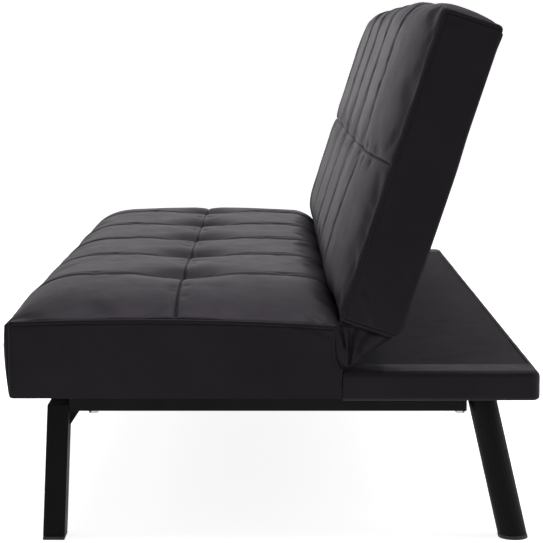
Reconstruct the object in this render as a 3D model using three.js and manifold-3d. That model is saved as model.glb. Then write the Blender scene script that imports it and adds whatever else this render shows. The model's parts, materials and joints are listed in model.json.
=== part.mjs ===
// Click clack sofa bed: an upholstered base with a rear ledge on splayed steel legs, a channelled
// seat, and a backrest that folds down over the ledge on a pair of notched hinges.
// Millimetres. +X runs along the length, -Y is the front, +Z is up, and the floor is at zero.
import * as THREE from "three";
import { mergeVertices } from "three/addons/utils/BufferGeometryUtils.js";
import Module from "manifold-3d";

const wasm = await Module();
wasm.setup();

// Driving dimensions
const length = 1800;
const depth = 846;
const underside = 237;
const ledgeThickness = 44;
const seatDepth = 528;
const frontBulge = 4;
const seatCrown = 161;
const seatSeamFront = 122;
const seatSeamMiddle = 126;
const seatSeamRear = 116;
const backHeight = 515;
const backThickness = 98;
const backCrown = 32;
const backLean = THREE.MathUtils.degToRad(18.2);
const backFootInset = 6;
const backFootRise = 124;
const channelCount = 6;

// Clearances
const touch = 0.3;
const slide = 0.5;
const overrun = 6;
const ledgeGap = 3;

// Places that follow from them
const endX = length / 2;
const front = -depth / 2 + frontBulge;
const rear = depth / 2;
const seatRear = front + seatDepth;
const ledgeTop = underside + ledgeThickness;
const backFootY = seatRear - backFootInset;
const backFootZ = underside + backFootRise;
const channelPitch = length / channelCount;

// Stock sizes
const board = 18;
const wall = 12;
const panel = 4;
const steel = 4;
const tubeWall = 2;

// Colours and finishes
function finish(color, roughness, metalness = 0) {
  return { color, roughness, metalness };
}
const leather = finish(0x2b2a2c, 0.42);
const ledgeCloth = finish(0x2f2c2d, 0.9);
const lining = finish(0x1b1b1c, 0.95);
const foam = finish(0xd9cfae, 0.95);
const timber = finish(0xb08a5b, 0.8);
const webbing = finish(0x55503f, 0.9);
const blackSteel = finish(0x18181a, 0.5, 0.6);
const plainSteel = finish(0x8d9094, 0.35, 0.9);
const blackPlastic = finish(0x121213, 0.6);

// Booleans work on bare closed meshes whose shared corners are merged.
function solidOf(geometry) {
  const bare = geometry.clone();
  bare.deleteAttribute("normal");
  bare.deleteAttribute("uv");
  const merged = mergeVertices(bare);
  const vertProperties = merged.attributes.position.array;
  const triVerts = new Uint32Array(merged.index.array);
  return new wasm.Manifold(new wasm.Mesh({ numProp: 3, vertProperties, triVerts }));
}

function geometryOf(solid) {
  const mesh = solid.getMesh();
  const geometry = new THREE.BufferGeometry();
  geometry.setAttribute("position", new THREE.BufferAttribute(mesh.vertProperties, 3));
  geometry.setIndex(new THREE.BufferAttribute(mesh.triVerts, 1));
  const flat = geometry.toNonIndexed();
  flat.computeVertexNormals();
  return flat;
}

function cut(geometry, ...tools) {
  let solid = solidOf(geometry);
  for (const tool of tools) {
    solid = solid.subtract(solidOf(tool));
  }
  return geometryOf(solid);
}

function join(geometry, ...others) {
  let solid = solidOf(geometry);
  for (const other of others) {
    solid = solid.add(solidOf(other));
  }
  return geometryOf(solid);
}

function named(name, geometry, look) {
  const mesh = new THREE.Mesh(geometry, new THREE.MeshStandardMaterial(look));
  mesh.name = name;
  return mesh;
}

// A block between two values on each axis, given in either order.
function block([x0, x1], [y0, y1], [z0, z1]) {
  const geometry = new THREE.BoxGeometry(Math.abs(x1 - x0), Math.abs(y1 - y0), Math.abs(z1 - z0));
  return geometry.translate((x0 + x1) / 2, (y0 + y1) / 2, (z0 + z1) / 2);
}

// An outline in Y and Z, with holes, as a plate between two values of X.
function plateAcross(outline, [x0, x1], holes = []) {
  const shape = new THREE.Shape(outline.map(([y, z]) => new THREE.Vector2(y, z)));
  for (const { y, z, radius } of holes) {
    const hole = new THREE.Path();
    hole.absarc(y, z, radius, 0, 2 * Math.PI, true);
    shape.holes.push(hole);
  }
  const low = Math.min(x0, x1);
  const geometry = new THREE.ExtrudeGeometry(shape, {
    depth: Math.abs(x1 - x0),
    bevelEnabled: false,
    curveSegments: holeSegments,
  });
  return geometry.applyMatrix4(acrossFrame).translate(low, 0, 0);
}

// An outline in X and Z as a plate between two values of Y.
function plateAlong(outline, [y0, y1]) {
  const shape = new THREE.Shape(outline.map(([x, z]) => new THREE.Vector2(x, z)));
  const high = Math.max(y0, y1);
  const geometry = new THREE.ExtrudeGeometry(shape, { depth: Math.abs(y1 - y0), bevelEnabled: false });
  return geometry.rotateX(Math.PI / 2).translate(0, high, 0);
}

// A round bar along X between two values.
function barAcross(radius, [x0, x1], y, z, sides = pinSides) {
  const geometry = new THREE.CylinderGeometry(radius, radius, Math.abs(x1 - x0), sides);
  return geometry.rotateZ(Math.PI / 2).translate((x0 + x1) / 2, y, z);
}

// A round bar along Z between two heights.
function barUp(radius, x, y, [z0, z1], sides = pinSides) {
  const geometry = new THREE.CylinderGeometry(radius, radius, Math.abs(z1 - z0), sides);
  return geometry.rotateX(Math.PI / 2).translate(x, y, (z0 + z1) / 2);
}

const holeSegments = 10;
const pinSides = 20;
// Turns an extrusion's own X, Y and Z into Y, Z and X.
const acrossFrame = new THREE.Matrix4().makeBasis(
  new THREE.Vector3(0, 1, 0),
  new THREE.Vector3(0, 0, 1),
  new THREE.Vector3(1, 0, 0),
);

const sides = [
  { side: -1, hand: "left" },
  { side: 1, hand: "right" },
];

// Cushion forms
// A cushion is lofted through outlines across its length. Each outline runs from one edge of the
// face to the other, first as it is at the end panels and then as it is where the crown is full.
const rollSteps = 4;
const topShares = [0.1, 0.22, 0.36, 0.46, 0.5, 0.54, 0.64, 0.78, 0.9];
const faceShares = [0.35, 0.75];
const stationShares = [0.12, 0.42, 1];
const endShares = [0.1, 0.35, 0.7];

const seatForm = {
  run: seatDepth,
  seams: [seatSeamFront, seatSeamMiddle, seatSeamRear],
  crown: seatCrown,
  bulge: frontBulge,
  startRoll: [70, 62],
  finishRoll: [85, 66],
  cornerRoll: 13,
  crownRun: 80,
  channelDepth: 6,
  crossDepth: 5,
  tuftDepth: 3,
};

const rearCover = 3;
const backForm = {
  run: backHeight,
  seams: [backThickness - rearCover, backThickness - rearCover, backThickness - rearCover],
  crown: backThickness - rearCover + backCrown,
  bulge: 9,
  startRoll: [52, 50],
  finishRoll: [85, 50],
  cornerRoll: 12,
  crownRun: 80,
  channelDepth: 6,
  crossDepth: 4,
  tuftDepth: 3,
};

function seamHeight(form, a) {
  const share = a / form.run;
  const [first, middle, last] = form.seams;
  const ends = first * (1 - share) * (1 - 2 * share) + last * share * (2 * share - 1);
  return ends + 4 * middle * share * (1 - share);
}

// One point of a cushion's outline: its place, and the way in along which a channel draws it.
function outlinePoints(form, full) {
  const bulge = full ? form.bulge : 0;
  const startRoll = full ? form.startRoll : [form.cornerRoll, form.cornerRoll];
  const finishRoll = full ? form.finishRoll : [form.cornerRoll, form.cornerRoll];
  const topAt = (a) => (full ? form.crown : seamHeight(form, a));
  const startTop = topAt(startRoll[0]);
  const finishTop = topAt(form.run - finishRoll[0]);
  const points = [{ a: 0, h: 0, inA: 0, inH: 0, cross: 0 }];
  for (const share of faceShares) {
    const swell = Math.sin((share * Math.PI) / 2);
    points.push({ a: -bulge * swell, h: (startTop - startRoll[1]) * share, inA: share, inH: 0, cross: 0 });
  }
  for (let k = 0; k <= rollSteps; k++) {
    const turn = ((k / rollSteps) * Math.PI) / 2;
    const a = -bulge + (startRoll[0] + bulge) * (1 - Math.cos(turn));
    const h = startTop - startRoll[1] * (1 - Math.sin(turn));
    points.push({ a, h, inA: Math.cos(turn), inH: -Math.sin(turn), cross: 0 });
  }
  const topRun = form.run - startRoll[0] - finishRoll[0];
  for (const share of topShares) {
    const a = startRoll[0] + topRun * share;
    const cross = full ? Math.pow(1 - Math.abs(2 * a / form.run - 1), 4) : 0;
    points.push({ a, h: topAt(a), inA: 0, inH: -1, cross });
  }
  for (let k = rollSteps; k >= 0; k--) {
    const turn = ((k / rollSteps) * Math.PI) / 2;
    const a = form.run - finishRoll[0] * (1 - Math.cos(turn));
    const h = finishTop - finishRoll[1] * (1 - Math.sin(turn));
    points.push({ a, h, inA: -Math.cos(turn) * k / rollSteps, inH: -Math.sin(turn), cross: 0 });
  }
  points.push({ a: form.run, h: 0, inA: 0, inH: 0, cross: 0 });
  return points;
}

// Places along the length: close together at the end rolls and at each channel.
function stations(form, half) {
  const found = new Set([0]);
  for (const share of endShares) {
    found.add(form.crownRun * share);
  }
  for (let channel = 1; channel <= channelCount / 2; channel++) {
    const seam = channel * channelPitch;
    for (const share of stationShares) {
      const before = seam - (share * channelPitch) / 2;
      if (before > form.crownRun) {
        found.add(before);
      }
      const after = seam + (share * channelPitch) / 2;
      if (after < half) {
        found.add(after);
      }
    }
    found.add(seam);
  }
  const near = [...found].filter((value) => value <= half).sort((p, q) => p - q);
  const far = near.filter((value) => value < half).map((value) => 2 * half - value);
  return [...near, ...far.reverse()];
}

function cushion(form) {
  const half = endX - panel - touch;
  const ends = outlinePoints(form, false);
  const fulls = outlinePoints(form, true);
  const rows = stations(form, half).map((fromEnd) => {
    const near = Math.min(fromEnd, 2 * half - fromEnd);
    const rise = near >= form.crownRun ? 1 : Math.sqrt(1 - Math.pow(1 - near / form.crownRun, 2));
    const toSeam = Math.abs(near / channelPitch - Math.round(near / channelPitch)) * 2;
    const isEnd = Math.round(near / channelPitch) === 0;
    const valley = isEnd ? 0 : Math.pow(1 - toSeam, 3);
    return ends.map((end, k) => {
      const full = fulls[k];
      const draw = rise * (form.channelDepth * valley * (1 - full.cross) +
        full.cross * (form.crossDepth + (form.channelDepth + form.tuftDepth) * valley));
      const a = THREE.MathUtils.lerp(end.a, full.a, rise) + draw * full.inA;
      const h = THREE.MathUtils.lerp(end.h, full.h, rise) + draw * full.inH;
      return [fromEnd - half, a, h];
    });
  });
  return loft(rows);
}

// A closed body through rows of points, with its first and last rows as flat ends.
function loft(rows) {
  const count = rows[0].length;
  const position = [];
  for (const row of rows) {
    for (const point of row) {
      position.push(...point);
    }
  }
  const index = [];
  for (let r = 0; r + 1 < rows.length; r++) {
    for (let k = 0; k < count; k++) {
      const p = r * count + k;
      const q = r * count + ((k + 1) % count);
      index.push(p, p + count, q, q, p + count, q + count);
    }
  }
  const flatEnd = rows[0].map(([, a, h]) => new THREE.Vector2(a, h));
  const lastRow = (rows.length - 1) * count;
  for (const [i, j, k] of THREE.ShapeUtils.triangulateShape(flatEnd, [])) {
    index.push(k, j, i);
    index.push(lastRow + i, lastRow + j, lastRow + k);
  }
  const geometry = new THREE.BufferGeometry();
  geometry.setAttribute("position", new THREE.Float32BufferAttribute(position, 3));
  geometry.setIndex(index);
  if (solidOf(geometry).volume() < 0) {
    index.reverse();
    geometry.setIndex(index);
  }
  return geometry;
}

// The outline of a cushion's flat end panel, as pairs for a plate.
function endOutline(form) {
  return outlinePoints(form, false).map(({ a, h }) => [a, h]);
}

// Base timber: two levels, a tall one under the seat and a low one under the ledge
const liningRoom = 1.5;
const boardFoot = underside + liningRoom;
const seatBoardHeight = 73;
const seatBoardTop = underside + seatBoardHeight;
const ledgePanel = 6;
const ledgeCoverTop = 2.7;
const ledgePanelTop = ledgeTop - ledgeCoverTop - touch;
const ledgeBoardTop = ledgePanelTop - ledgePanel - touch;
const padding = wall + panel;
const insideX = endX - padding;
const boardX = insideX - touch;
const boardFront = front + wall + touch;
const seatBoardRear = seatRear - wall - touch;
const ledgeBoardRear = rear - padding - touch;
const rearBoardFront = seatBoardRear - board;
const crossBoardFront = boardFront + board + touch;
const crossBoardRear = ledgeBoardRear - board - touch;
const hingeInset = 120;
const hingeBoardX = endX - hingeInset;

function baseBoards() {
  const group = new THREE.Group();
  const lOutline = [
    [crossBoardFront, boardFoot],
    [crossBoardRear, boardFoot],
    [crossBoardRear, ledgeBoardTop],
    [rearBoardFront - touch, ledgeBoardTop],
    [rearBoardFront - touch, seatBoardTop],
    [crossBoardFront, seatBoardTop],
  ];
  for (const { side, hand } of sides) {
    const outer = plateAcross(lOutline, [side * (boardX - board), side * boardX]);
    group.add(named(`side_board_${hand}`, outer, timber));
    const inner = plateAcross(lOutline, [side * hingeBoardX, side * (hingeBoardX + board)]);
    group.add(named(`hinge_board_${hand}`, inner, timber));
  }
  const middle = plateAcross(lOutline, [-board / 2, board / 2]);
  group.add(named("centre_board", middle, timber));
  const frontRange = [boardFront, boardFront + board];
  const frontBoard = block([-boardX, boardX], frontRange, [boardFoot, seatBoardTop]);
  group.add(named("front_board", frontBoard, timber));
  const rearBoardHeights = [ledgeBoardTop + touch, seatBoardTop];
  const rearBoard = block([-boardX, boardX], [rearBoardFront, seatBoardRear], rearBoardHeights);
  const notches = sides.map(({ side }) => {
    const across = [side * (bracketX - touch), side * (bracketX + steel + slide)];
    return block(across, [rearBoardFront - overrun, seatBoardRear + overrun], [0, neckTop + slide]);
  });
  group.add(named("seat_rear_board", cut(rearBoard, ...notches), timber));
  const ledgeRange = [ledgeBoardRear - board, ledgeBoardRear];
  const ledgeBoard = block([-boardX, boardX], ledgeRange, [boardFoot, ledgeBoardTop]);
  group.add(named("ledge_rear_board", ledgeBoard, timber));
  const panelRange = [seatBoardRear + touch, ledgeBoardRear];
  const panelHeights = [ledgeBoardTop + touch, ledgePanelTop];
  group.add(named("ledge_panel", block([-boardX, boardX], panelRange, panelHeights), timber));
  return group;
}

// Ledge covering: a leather edge all round, with a cloth top between its end bands
const endBand = 70;
const rearBand = 14;
const ledgeCorner = 16;

function ledgeOutline(x, y, corner) {
  const shape = new THREE.Shape();
  shape.moveTo(-x, seatRear + touch);
  shape.lineTo(x, seatRear + touch);
  shape.lineTo(x, y - corner);
  shape.absarc(x - corner, y - corner, corner, 0, Math.PI / 2, false);
  shape.absarc(-x + corner, y - corner, corner, Math.PI / 2, Math.PI, false);
  return shape;
}

function ledgeCovering() {
  const group = new THREE.Group();
  const outer = new THREE.ExtrudeGeometry(ledgeOutline(endX, rear, ledgeCorner), {
    depth: ledgeTop - underside,
    bevelEnabled: false,
    curveSegments: 4,
  }).translate(0, 0, underside);
  const inside = block([-insideX, insideX], [front, rear - padding], [0, ledgePanelTop + touch]);
  const windowX = endX - endBand;
  const windowRear = rear - padding + rearBand / 2;
  const window = block([-windowX, windowX], [front, windowRear], [ledgeBoardTop, ledgeTop + overrun]);
  group.add(named("ledge_cover", cut(outer, inside, window), leather));
  const clothX = [touch - windowX, windowX - touch];
  const clothY = [seatRear + touch, rear - padding - touch];
  const cloth = block(clothX, clothY, [ledgePanelTop + touch, ledgeTop - touch]);
  group.add(named("ledge_cloth", cloth, ledgeCloth));
  return group;
}

// Seat: webbing on the boards, a foam block, the quilted cover and its two end panels
const strap = 50;
const strapThickness = 2;
const strapCount = 10;
const coverThickness = 8;
const foamTop = underside + seatSeamRear - coverThickness;

function seatWebbing() {
  const y0 = boardFront;
  const y1 = seatBoardRear;
  const rows = [
    [y0 + strap, (y0 + y1 - strap) / 2],
    [(y0 + y1 + strap) / 2, y1 - strap],
  ];
  const pitch = (2 * boardX - strap) / strapCount;
  const foot = seatBoardTop + touch;
  const gaps = [];
  for (let n = 0; n < strapCount; n++) {
    const x0 = -boardX + strap + n * pitch;
    for (const row of rows) {
      gaps.push(block([x0, x0 + pitch - strap], row, [foot - overrun, foot + overrun]));
    }
  }
  const sheet = block([-boardX, boardX], [y0, y1], [foot, foot + strapThickness]);
  return named("seat_webbing", cut(sheet, ...gaps), webbing);
}

function seat() {
  const group = new THREE.Group();
  group.add(seatWebbing());
  const foamFoot = seatBoardTop + strapThickness + 2 * touch;
  const foamBlock = block([-boardX, boardX], [boardFront, seatBoardRear], [foamFoot, foamTop - touch]);
  group.add(named("seat_foam", foamBlock, foam));
  const form = cushion(seatForm).translate(0, front, underside);
  const inside = block([-insideX, insideX], [front + wall, seatRear - wall], [0, foamTop]);
  const overLedge = block([-endX, endX], [seatRear - 2 * wall, rear], [0, ledgePanelTop + touch]);
  const slots = sides.map(({ side }) => {
    const across = [side * (hingeBoardX + board), side * (armX + armSlot)];
    return block(across, [seatRear - 2 * wall, rear], [0, pivot.y - bossRadius + 2 * slide]);
  });
  group.add(named("seat_cover", cut(form, inside, overLedge, ...slots), leather));
  for (const { side, hand } of sides) {
    const plate = plateAcross(endOutline(seatForm), [side * (endX - panel), side * endX]);
    group.add(named(`seat_end_panel_${hand}`, plate.translate(0, front, underside), leather));
  }
  const lineX = boardX - panel;
  const liningY = [boardFront + panel, ledgeBoardRear - panel];
  const dust = block([-lineX, lineX], liningY, [underside, boardFoot - touch]);
  group.add(named("dust_cover", dust, lining));
  return group;
}

// Hinge geometry. In the flat position the backrest's rear face lies just over the ledge, which
// fixes how far along its own slope the pivot lies for a given distance behind its front plane.
const pivotBehind = 40;
const flatFront = ledgeTop + ledgeGap + backThickness;
const pivotAlong =
  (flatFront - backFootZ - pivotBehind * (1 - Math.sin(backLean))) / Math.cos(backLean);
const pivot = new THREE.Vector2(
  backFootY + pivotAlong * Math.sin(backLean) + pivotBehind * Math.cos(backLean),
  backFootZ + pivotAlong * Math.cos(backLean) - pivotBehind * Math.sin(backLean),
);
const reclineTravel = Math.PI / 2 - backLean;
const forwardTravel = THREE.MathUtils.degToRad(6);
const bossRadius = 13;
const pinRadius = 5;
const pinHead = 9;
const pinHeadThickness = 3;
const bracketX = hingeBoardX + board + touch;
const neckTop = seatBoardTop - wall;
const neckTurn = THREE.MathUtils.degToRad(-52);
const screwShares = [0.2, 0.8];
const armX = bracketX + steel + slide;
const armSlot = steel + 2 * slide;
const camStart = 15;
const camRise = 4;
const notchDepth = 2.5;
const notchHalf = THREE.MathUtils.degToRad(5);
const camSteps = 18;
const pawlLength = 33;
const pawlWidth = 8;
const pawlGap = 0.6;
const pawlPinRadius = 3.5;
const pawlPin = new THREE.Vector2(pivot.x - camStart - pawlGap - pawlWidth / 2, pivot.y - pawlLength);

// A round nose about a point, from one angle to another.
function arcPoints(centre, radius, from, to, steps) {
  const points = [];
  for (let k = 0; k <= steps; k++) {
    const angle = THREE.MathUtils.lerp(from, to, k / steps);
    points.push([centre.x + radius * Math.cos(angle), centre.y + radius * Math.sin(angle)]);
  }
  return points;
}

// The bracket is screwed to the inside board and carries the pivot behind the seat.
function hingeBracket(side) {
  const plateFront = rearBoardFront - 3 * board;
  const plateRear = rearBoardFront - wall;
  const plateFoot = boardFoot + board;
  const outline = [
    [plateFront, plateFoot],
    [plateRear, plateFoot],
    [seatBoardRear, ledgePanelTop + 2 * slide],
    [seatRear, ledgeTop + pawlPinRadius],
    [pawlPin.x + pawlPinRadius + tubeWall, pawlPin.y - pawlPinRadius - steel],
    ...arcPoints(pivot, bossRadius, neckTurn, neckTurn + Math.PI, pinSides / 2),
    [seatBoardRear + touch, neckTop],
    [plateFront, neckTop],
  ];
  const holes = [
    { y: pivot.x, z: pivot.y, radius: pinRadius + touch },
    { y: pawlPin.x, z: pawlPin.y, radius: pawlPinRadius + touch },
  ];
  const across = [side * bracketX, side * (bracketX + steel)];
  let plate = plateAcross(outline, across, holes);
  for (const share of screwShares) {
    const y = THREE.MathUtils.lerp(plateFront, plateRear, share);
    const z = (plateFoot + neckTop) / 2;
    const faceX = side * (bracketX + steel);
    plate = join(plate, barAcross(pinHead, [faceX - side * slide, faceX + side * pinHeadThickness], y, z));
  }
  return plate;
}

// The arm's boss carries a snail cam with a notch for each resting place of the backrest.
function camRadius(turn) {
  const share = turn / reclineTravel;
  let radius = camStart + camRise * share;
  for (const notch of [0, reclineTravel / 2, reclineTravel]) {
    const off = Math.abs(turn - notch) / notchHalf;
    if (off < 1) {
      radius -= notchDepth * (1 - off);
    }
  }
  return radius;
}

// The arm in the backrest's own frame: Y runs to its rear and Z up its slope.
function hingeArm(side) {
  const centre = new THREE.Vector2(pivotBehind, pivotAlong);
  const outline = [];
  const startTurn = -forwardTravel - notchHalf;
  const finishTurn = reclineTravel + notchHalf;
  for (let k = 0; k <= camSteps; k++) {
    const turn = THREE.MathUtils.lerp(startTurn, finishTurn, k / camSteps);
    const angle = Math.PI + turn + backLean;
    const radius = camRadius(turn);
    outline.push([centre.x + radius * Math.cos(angle), centre.y + radius * Math.sin(angle)]);
  }
  const neckRear = frameFront + armWidth;
  outline.push([neckRear, pivotAlong]);
  outline.push([neckRear, armReach]);
  outline.push([frameFront + touch, armReach]);
  outline.push([frameFront + touch, wall - slide]);
  outline.push([centre.x - camStart * Math.cos(backLean), centre.y + camStart]);
  const hole = { y: centre.x, z: centre.y, radius: pinRadius + touch };
  return plateAcross(outline, [side * armX, side * (armX + steel)], [hole]);
}

function pivotPin(side) {
  const through = [side * (bracketX + slide), side * (armX + steel + slide)];
  const shank = barAcross(pinRadius, through, pivot.x, pivot.y);
  const innerHead = [side * (bracketX - pinHeadThickness), side * (bracketX - touch)];
  const neck = [side * (bracketX - touch - slide), side * (bracketX + 2 * slide)];
  const outerHead = [side * (armX + steel + touch), side * (armX + steel + pinHeadThickness)];
  return join(
    shank,
    barAcross(pinHead, innerHead, pivot.x, pivot.y),
    barAcross(pinRadius, neck, pivot.x, pivot.y),
    barAcross(pinHead, outerHead, pivot.x, pivot.y),
  );
}

function pawlPinBar(side) {
  const through = [side * (bracketX - touch), side * (armX + steel + slide)];
  const head = [side * (bracketX - touch), side * (bracketX - pinHeadThickness)];
  const cap = [side * (armX + steel + touch), side * (armX + steel + pinHeadThickness)];
  return join(
    barAcross(pawlPinRadius, through, pawlPin.x, pawlPin.y),
    barAcross(2 * pawlPinRadius, head, pawlPin.x, pawlPin.y),
    barAcross(2 * pawlPinRadius, cap, pawlPin.x, pawlPin.y),
  );
}

// The pawl stands on its own pin with its tip against the cam, in the arm's plane.
function pawl(side) {
  const tip = [pivot.x - camStart - pawlGap, pivot.y];
  const outline = [
    ...arcPoints(pawlPin, pawlWidth, Math.PI, 2 * Math.PI, pinSides / 2),
    [tip[0] - 2 * slide, tip[1] - pawlWidth],
    tip,
    [tip[0] - pawlWidth, tip[1] + pawlWidth / 4],
  ];
  const hole = { y: pawlPin.x, z: pawlPin.y, radius: pawlPinRadius + touch };
  return plateAcross(outline, [side * armX, side * (armX + steel)], [hole]);
}

function hinges() {
  const group = new THREE.Group();
  for (const { side, hand } of sides) {
    group.add(named(`hinge_bracket_${hand}`, hingeBracket(side), plainSteel));
    group.add(named(`pivot_pin_${hand}`, pivotPin(side), plainSteel));
    group.add(named(`pawl_pin_${hand}`, pawlPinBar(side), plainSteel));
    group.add(named(`hinge_pawl_${hand}`, pawl(side), plainSteel));
  }
  return group;
}

// Backrest: built in its own frame, with Z up the slope and Y to the rear
const frameFront = 40;
const frameRail = 40;
const stileWidth = 36;
const armWidth = 34;
const armReach = 130;
const stileX = armX + steel + touch;

function backrest() {
  const group = new THREE.Group();
  group.position.set(0, backFootY, backFootZ);
  group.rotation.x = -backLean;

  const frameRear = backThickness - rearCover - touch;
  const frameY = [frameFront + touch, frameRear];
  const topRailX = stileX - touch;
  const frameLow = wall + touch;
  const frameHigh = backHeight - wall - touch;
  for (const { side, hand } of sides) {
    const stile = block([side * stileX, side * (stileX + stileWidth)], frameY, [frameLow, frameHigh]);
    group.add(named(`back_stile_${hand}`, stile, timber));
  }
  const bottomX = armX - touch;
  const bottomRail = block([-bottomX, bottomX], frameY, [frameLow, frameLow + frameRail]);
  group.add(named("back_bottom_rail", bottomRail, timber));
  const topRail = block([-topRailX, topRailX], frameY, [frameHigh - frameRail, frameHigh]);
  group.add(named("back_top_rail", topRail, timber));
  const middleZ = [frameLow + frameRail + touch, frameHigh - frameRail - touch];
  const middle = block([-frameRail / 2, frameRail / 2], frameY, middleZ);
  group.add(named("back_centre_stile", middle, timber));

  const foamFront = wall - panel;
  const foamBlock = block([-boardX, boardX], [foamFront + touch, frameFront], [frameLow, frameHigh]);
  group.add(named("back_foam", foamBlock, foam));

  const toBack = new THREE.Matrix4()
    .makeBasis(new THREE.Vector3(-1, 0, 0), new THREE.Vector3(0, 0, -1), new THREE.Vector3(0, -1, 0))
    .setPosition(0, backThickness - rearCover, backHeight);
  const form = cushion(backForm).applyMatrix4(toBack);
  const insideZ = [wall, backHeight - wall];
  const inside = block([-insideX, insideX], [foamFront, backThickness + overrun], insideZ);
  const slots = sides.map(({ side }) => {
    const across = [side * (bracketX - pinHeadThickness - slide), side * (armX + steel + pinHeadThickness)];
    const behind = [pivotBehind - camStart - camRise, frameFront + armWidth + slide];
    return block(across, behind, [-overrun, wall + overrun]);
  });
  group.add(named("back_cover", cut(form, inside, ...slots), leather));

  const rearY = [backThickness - rearCover + touch, backThickness];
  const rearX = endX - panel / 2;
  const rearSheet = block([-rearX, rearX], rearY, [panel, backHeight - panel]);
  group.add(named("back_rear_cover", rearSheet, leather));

  for (const { side, hand } of sides) {
    const across = [side * (endX - panel), side * endX];
    const plate = plateAcross(endOutline(backForm), across).applyMatrix4(toBack);
    const farHand = hand === "left" ? "right" : "left";
    group.add(named(`back_end_panel_${farHand}`, plate, leather));
    group.add(named(`hinge_arm_${hand}`, hingeArm(side), plainSteel));
  }
  return group;
}

// Loose leather under the backrest: a folded gusset at each end and a skirt between them
const gussetThickness = 14;
const gussetFolds = 5;
const foldDepth = 3;
const skirt = 2.5;
const skirtSteps = 6;
const skirtSag = 2;

// A point on the underside of the backrest at rest, a small way below it.
function underBack(behind, below) {
  const s = Math.sin(backLean);
  const c = Math.cos(backLean);
  return [backFootY + behind * c - below * s, backFootZ - behind * s - below * c];
}

function skirtLine(share, inward) {
  const [topY, topZ] = underBack(backThickness - rearCover - panel, skirt + slide);
  const [footY, footZ] = [seatRear + skirt - slide, ledgeTop + 2 * slide];
  const sag = skirtSag * Math.sin(share * Math.PI) - inward;
  const run = Math.hypot(topY - footY, topZ - footZ);
  const y = THREE.MathUtils.lerp(footY, topY, share) - (sag * (topZ - footZ)) / run;
  const z = THREE.MathUtils.lerp(footZ, topZ, share) + (sag * (topY - footY)) / run;
  return [y, z];
}

function gusset(side) {
  const foldSteps = 2 * gussetFolds;
  const foot = [seatRear + 4 * slide, ledgeTop + 8 * slide];
  const top = [];
  for (let k = 0; k <= foldSteps; k++) {
    const behind = THREE.MathUtils.lerp(wall, backThickness - wall, k / foldSteps);
    top.push(underBack(behind, 2 * slide));
  }
  const outerX = endX - panel;
  const innerX = outerX - gussetThickness;
  const outer = top.map(([y, z], k) => [side * (outerX - (k % 2) * foldDepth), y, z]);
  const inner = top.map(([y, z]) => [side * innerX, y, z]);
  const middleOf = (row) => row.map(([x, y, z]) => [x, (y + foot[0]) / 2, (z + foot[1]) / 2]);
  const rows = [
    inner.map(([x]) => [x, ...foot]),
    middleOf(inner),
    inner,
    outer,
    middleOf(outer),
    outer.map(() => [side * outerX, ...foot]),
  ];
  return fan(rows);
}

// A closed body from rows that start and finish in a single point.
function fan(rows) {
  const position = [];
  const index = [];
  const width = rows[0].length;
  const at = (r, k) => r * width + k;
  for (const row of rows) {
    for (const point of row) {
      position.push(...point);
    }
  }
  const count = rows.length;
  for (let r = 0; r < count; r++) {
    const next = (r + 1) % count;
    for (let k = 0; k + 1 < width; k++) {
      index.push(at(r, k), at(next, k), at(r, k + 1));
      index.push(at(r, k + 1), at(next, k), at(next, k + 1));
    }
  }
  for (const k of [0, width - 1]) {
    for (let r = 1; r + 1 < count; r++) {
      const corners = [at(0, k), at(r, k), at(r + 1, k)];
      index.push(...(k === 0 ? corners.reverse() : corners));
    }
  }
  const geometry = new THREE.BufferGeometry();
  geometry.setAttribute("position", new THREE.Float32BufferAttribute(position, 3));
  geometry.setIndex(index);
  return geometry;
}

function looseLeather() {
  const group = new THREE.Group();
  for (const { side, hand } of sides) {
    group.add(named(`gusset_${hand}`, closed(gusset(side)), leather));
  }
  const outline = [];
  for (let k = 0; k <= skirtSteps; k++) {
    outline.push(skirtLine(k / skirtSteps, 0));
  }
  for (let k = skirtSteps; k >= 0; k--) {
    outline.push(skirtLine(k / skirtSteps, -skirt));
  }
  const skirtX = endX - panel - gussetThickness - touch;
  group.add(named("rear_skirt", plateAcross(outline, [-skirtX, skirtX]), leather));
  return group;
}

// Drops the faces that have no area and turns the body the right way out.
function closed(geometry) {
  const merged = mergeVertices(geometry);
  const old = merged.index.array;
  const kept = [];
  for (let t = 0; t < old.length; t += 3) {
    const [i, j, k] = [old[t], old[t + 1], old[t + 2]];
    if (i !== j && j !== k && k !== i) {
      kept.push(i, j, k);
    }
  }
  merged.setIndex(kept);
  if (solidOf(merged).volume() < 0) {
    merged.setIndex(kept.reverse());
  }
  return geometryOf(solidOf(merged));
}

// Under-frame: two side rails, a front leg frame of square tube and two round rear legs
const legDrop = 24;
const legTop = underside - legDrop;
const legWidth = 35;
const legBreadth = 45;
const legSplay = 45;
const footInset = 30;
const frontLegInset = 52;
const frontLegRake = 5;
const frontLegY = front + frontLegInset;
const footPad = 6;
const railDrop = 34.5;
const railFoot = underside - railDrop;
const railTop = underside - touch;
const railWidth = 30;
const railRearInset = 110;
const railRear = rear - railRearInset;
const gussetRun = 16.5;
const gussetDrop = 27;
const legFootX = endX - footInset - legBreadth / 2;
const railX = legFootX - legSplay + legBreadth / 2;
const tubeHeight = 35;

// The middle of a front leg at a height.
function legCentre(z) {
  return legFootX - legSplay * (z / legTop);
}

// How far a front leg stands forward of its top at a height.
function legLean(z) {
  return frontLegRake * (1 - z / legTop);
}

// Leans a front leg's piece forward towards the floor.
function leaned(geometry) {
  const slope = frontLegRake / legTop;
  const lean = new THREE.Matrix4().set(1, 0, 0, 0, 0, 1, slope, -frontLegRake, 0, 0, 1, 0, 0, 0, 0, 1);
  return geometry.applyMatrix4(lean);
}

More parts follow.
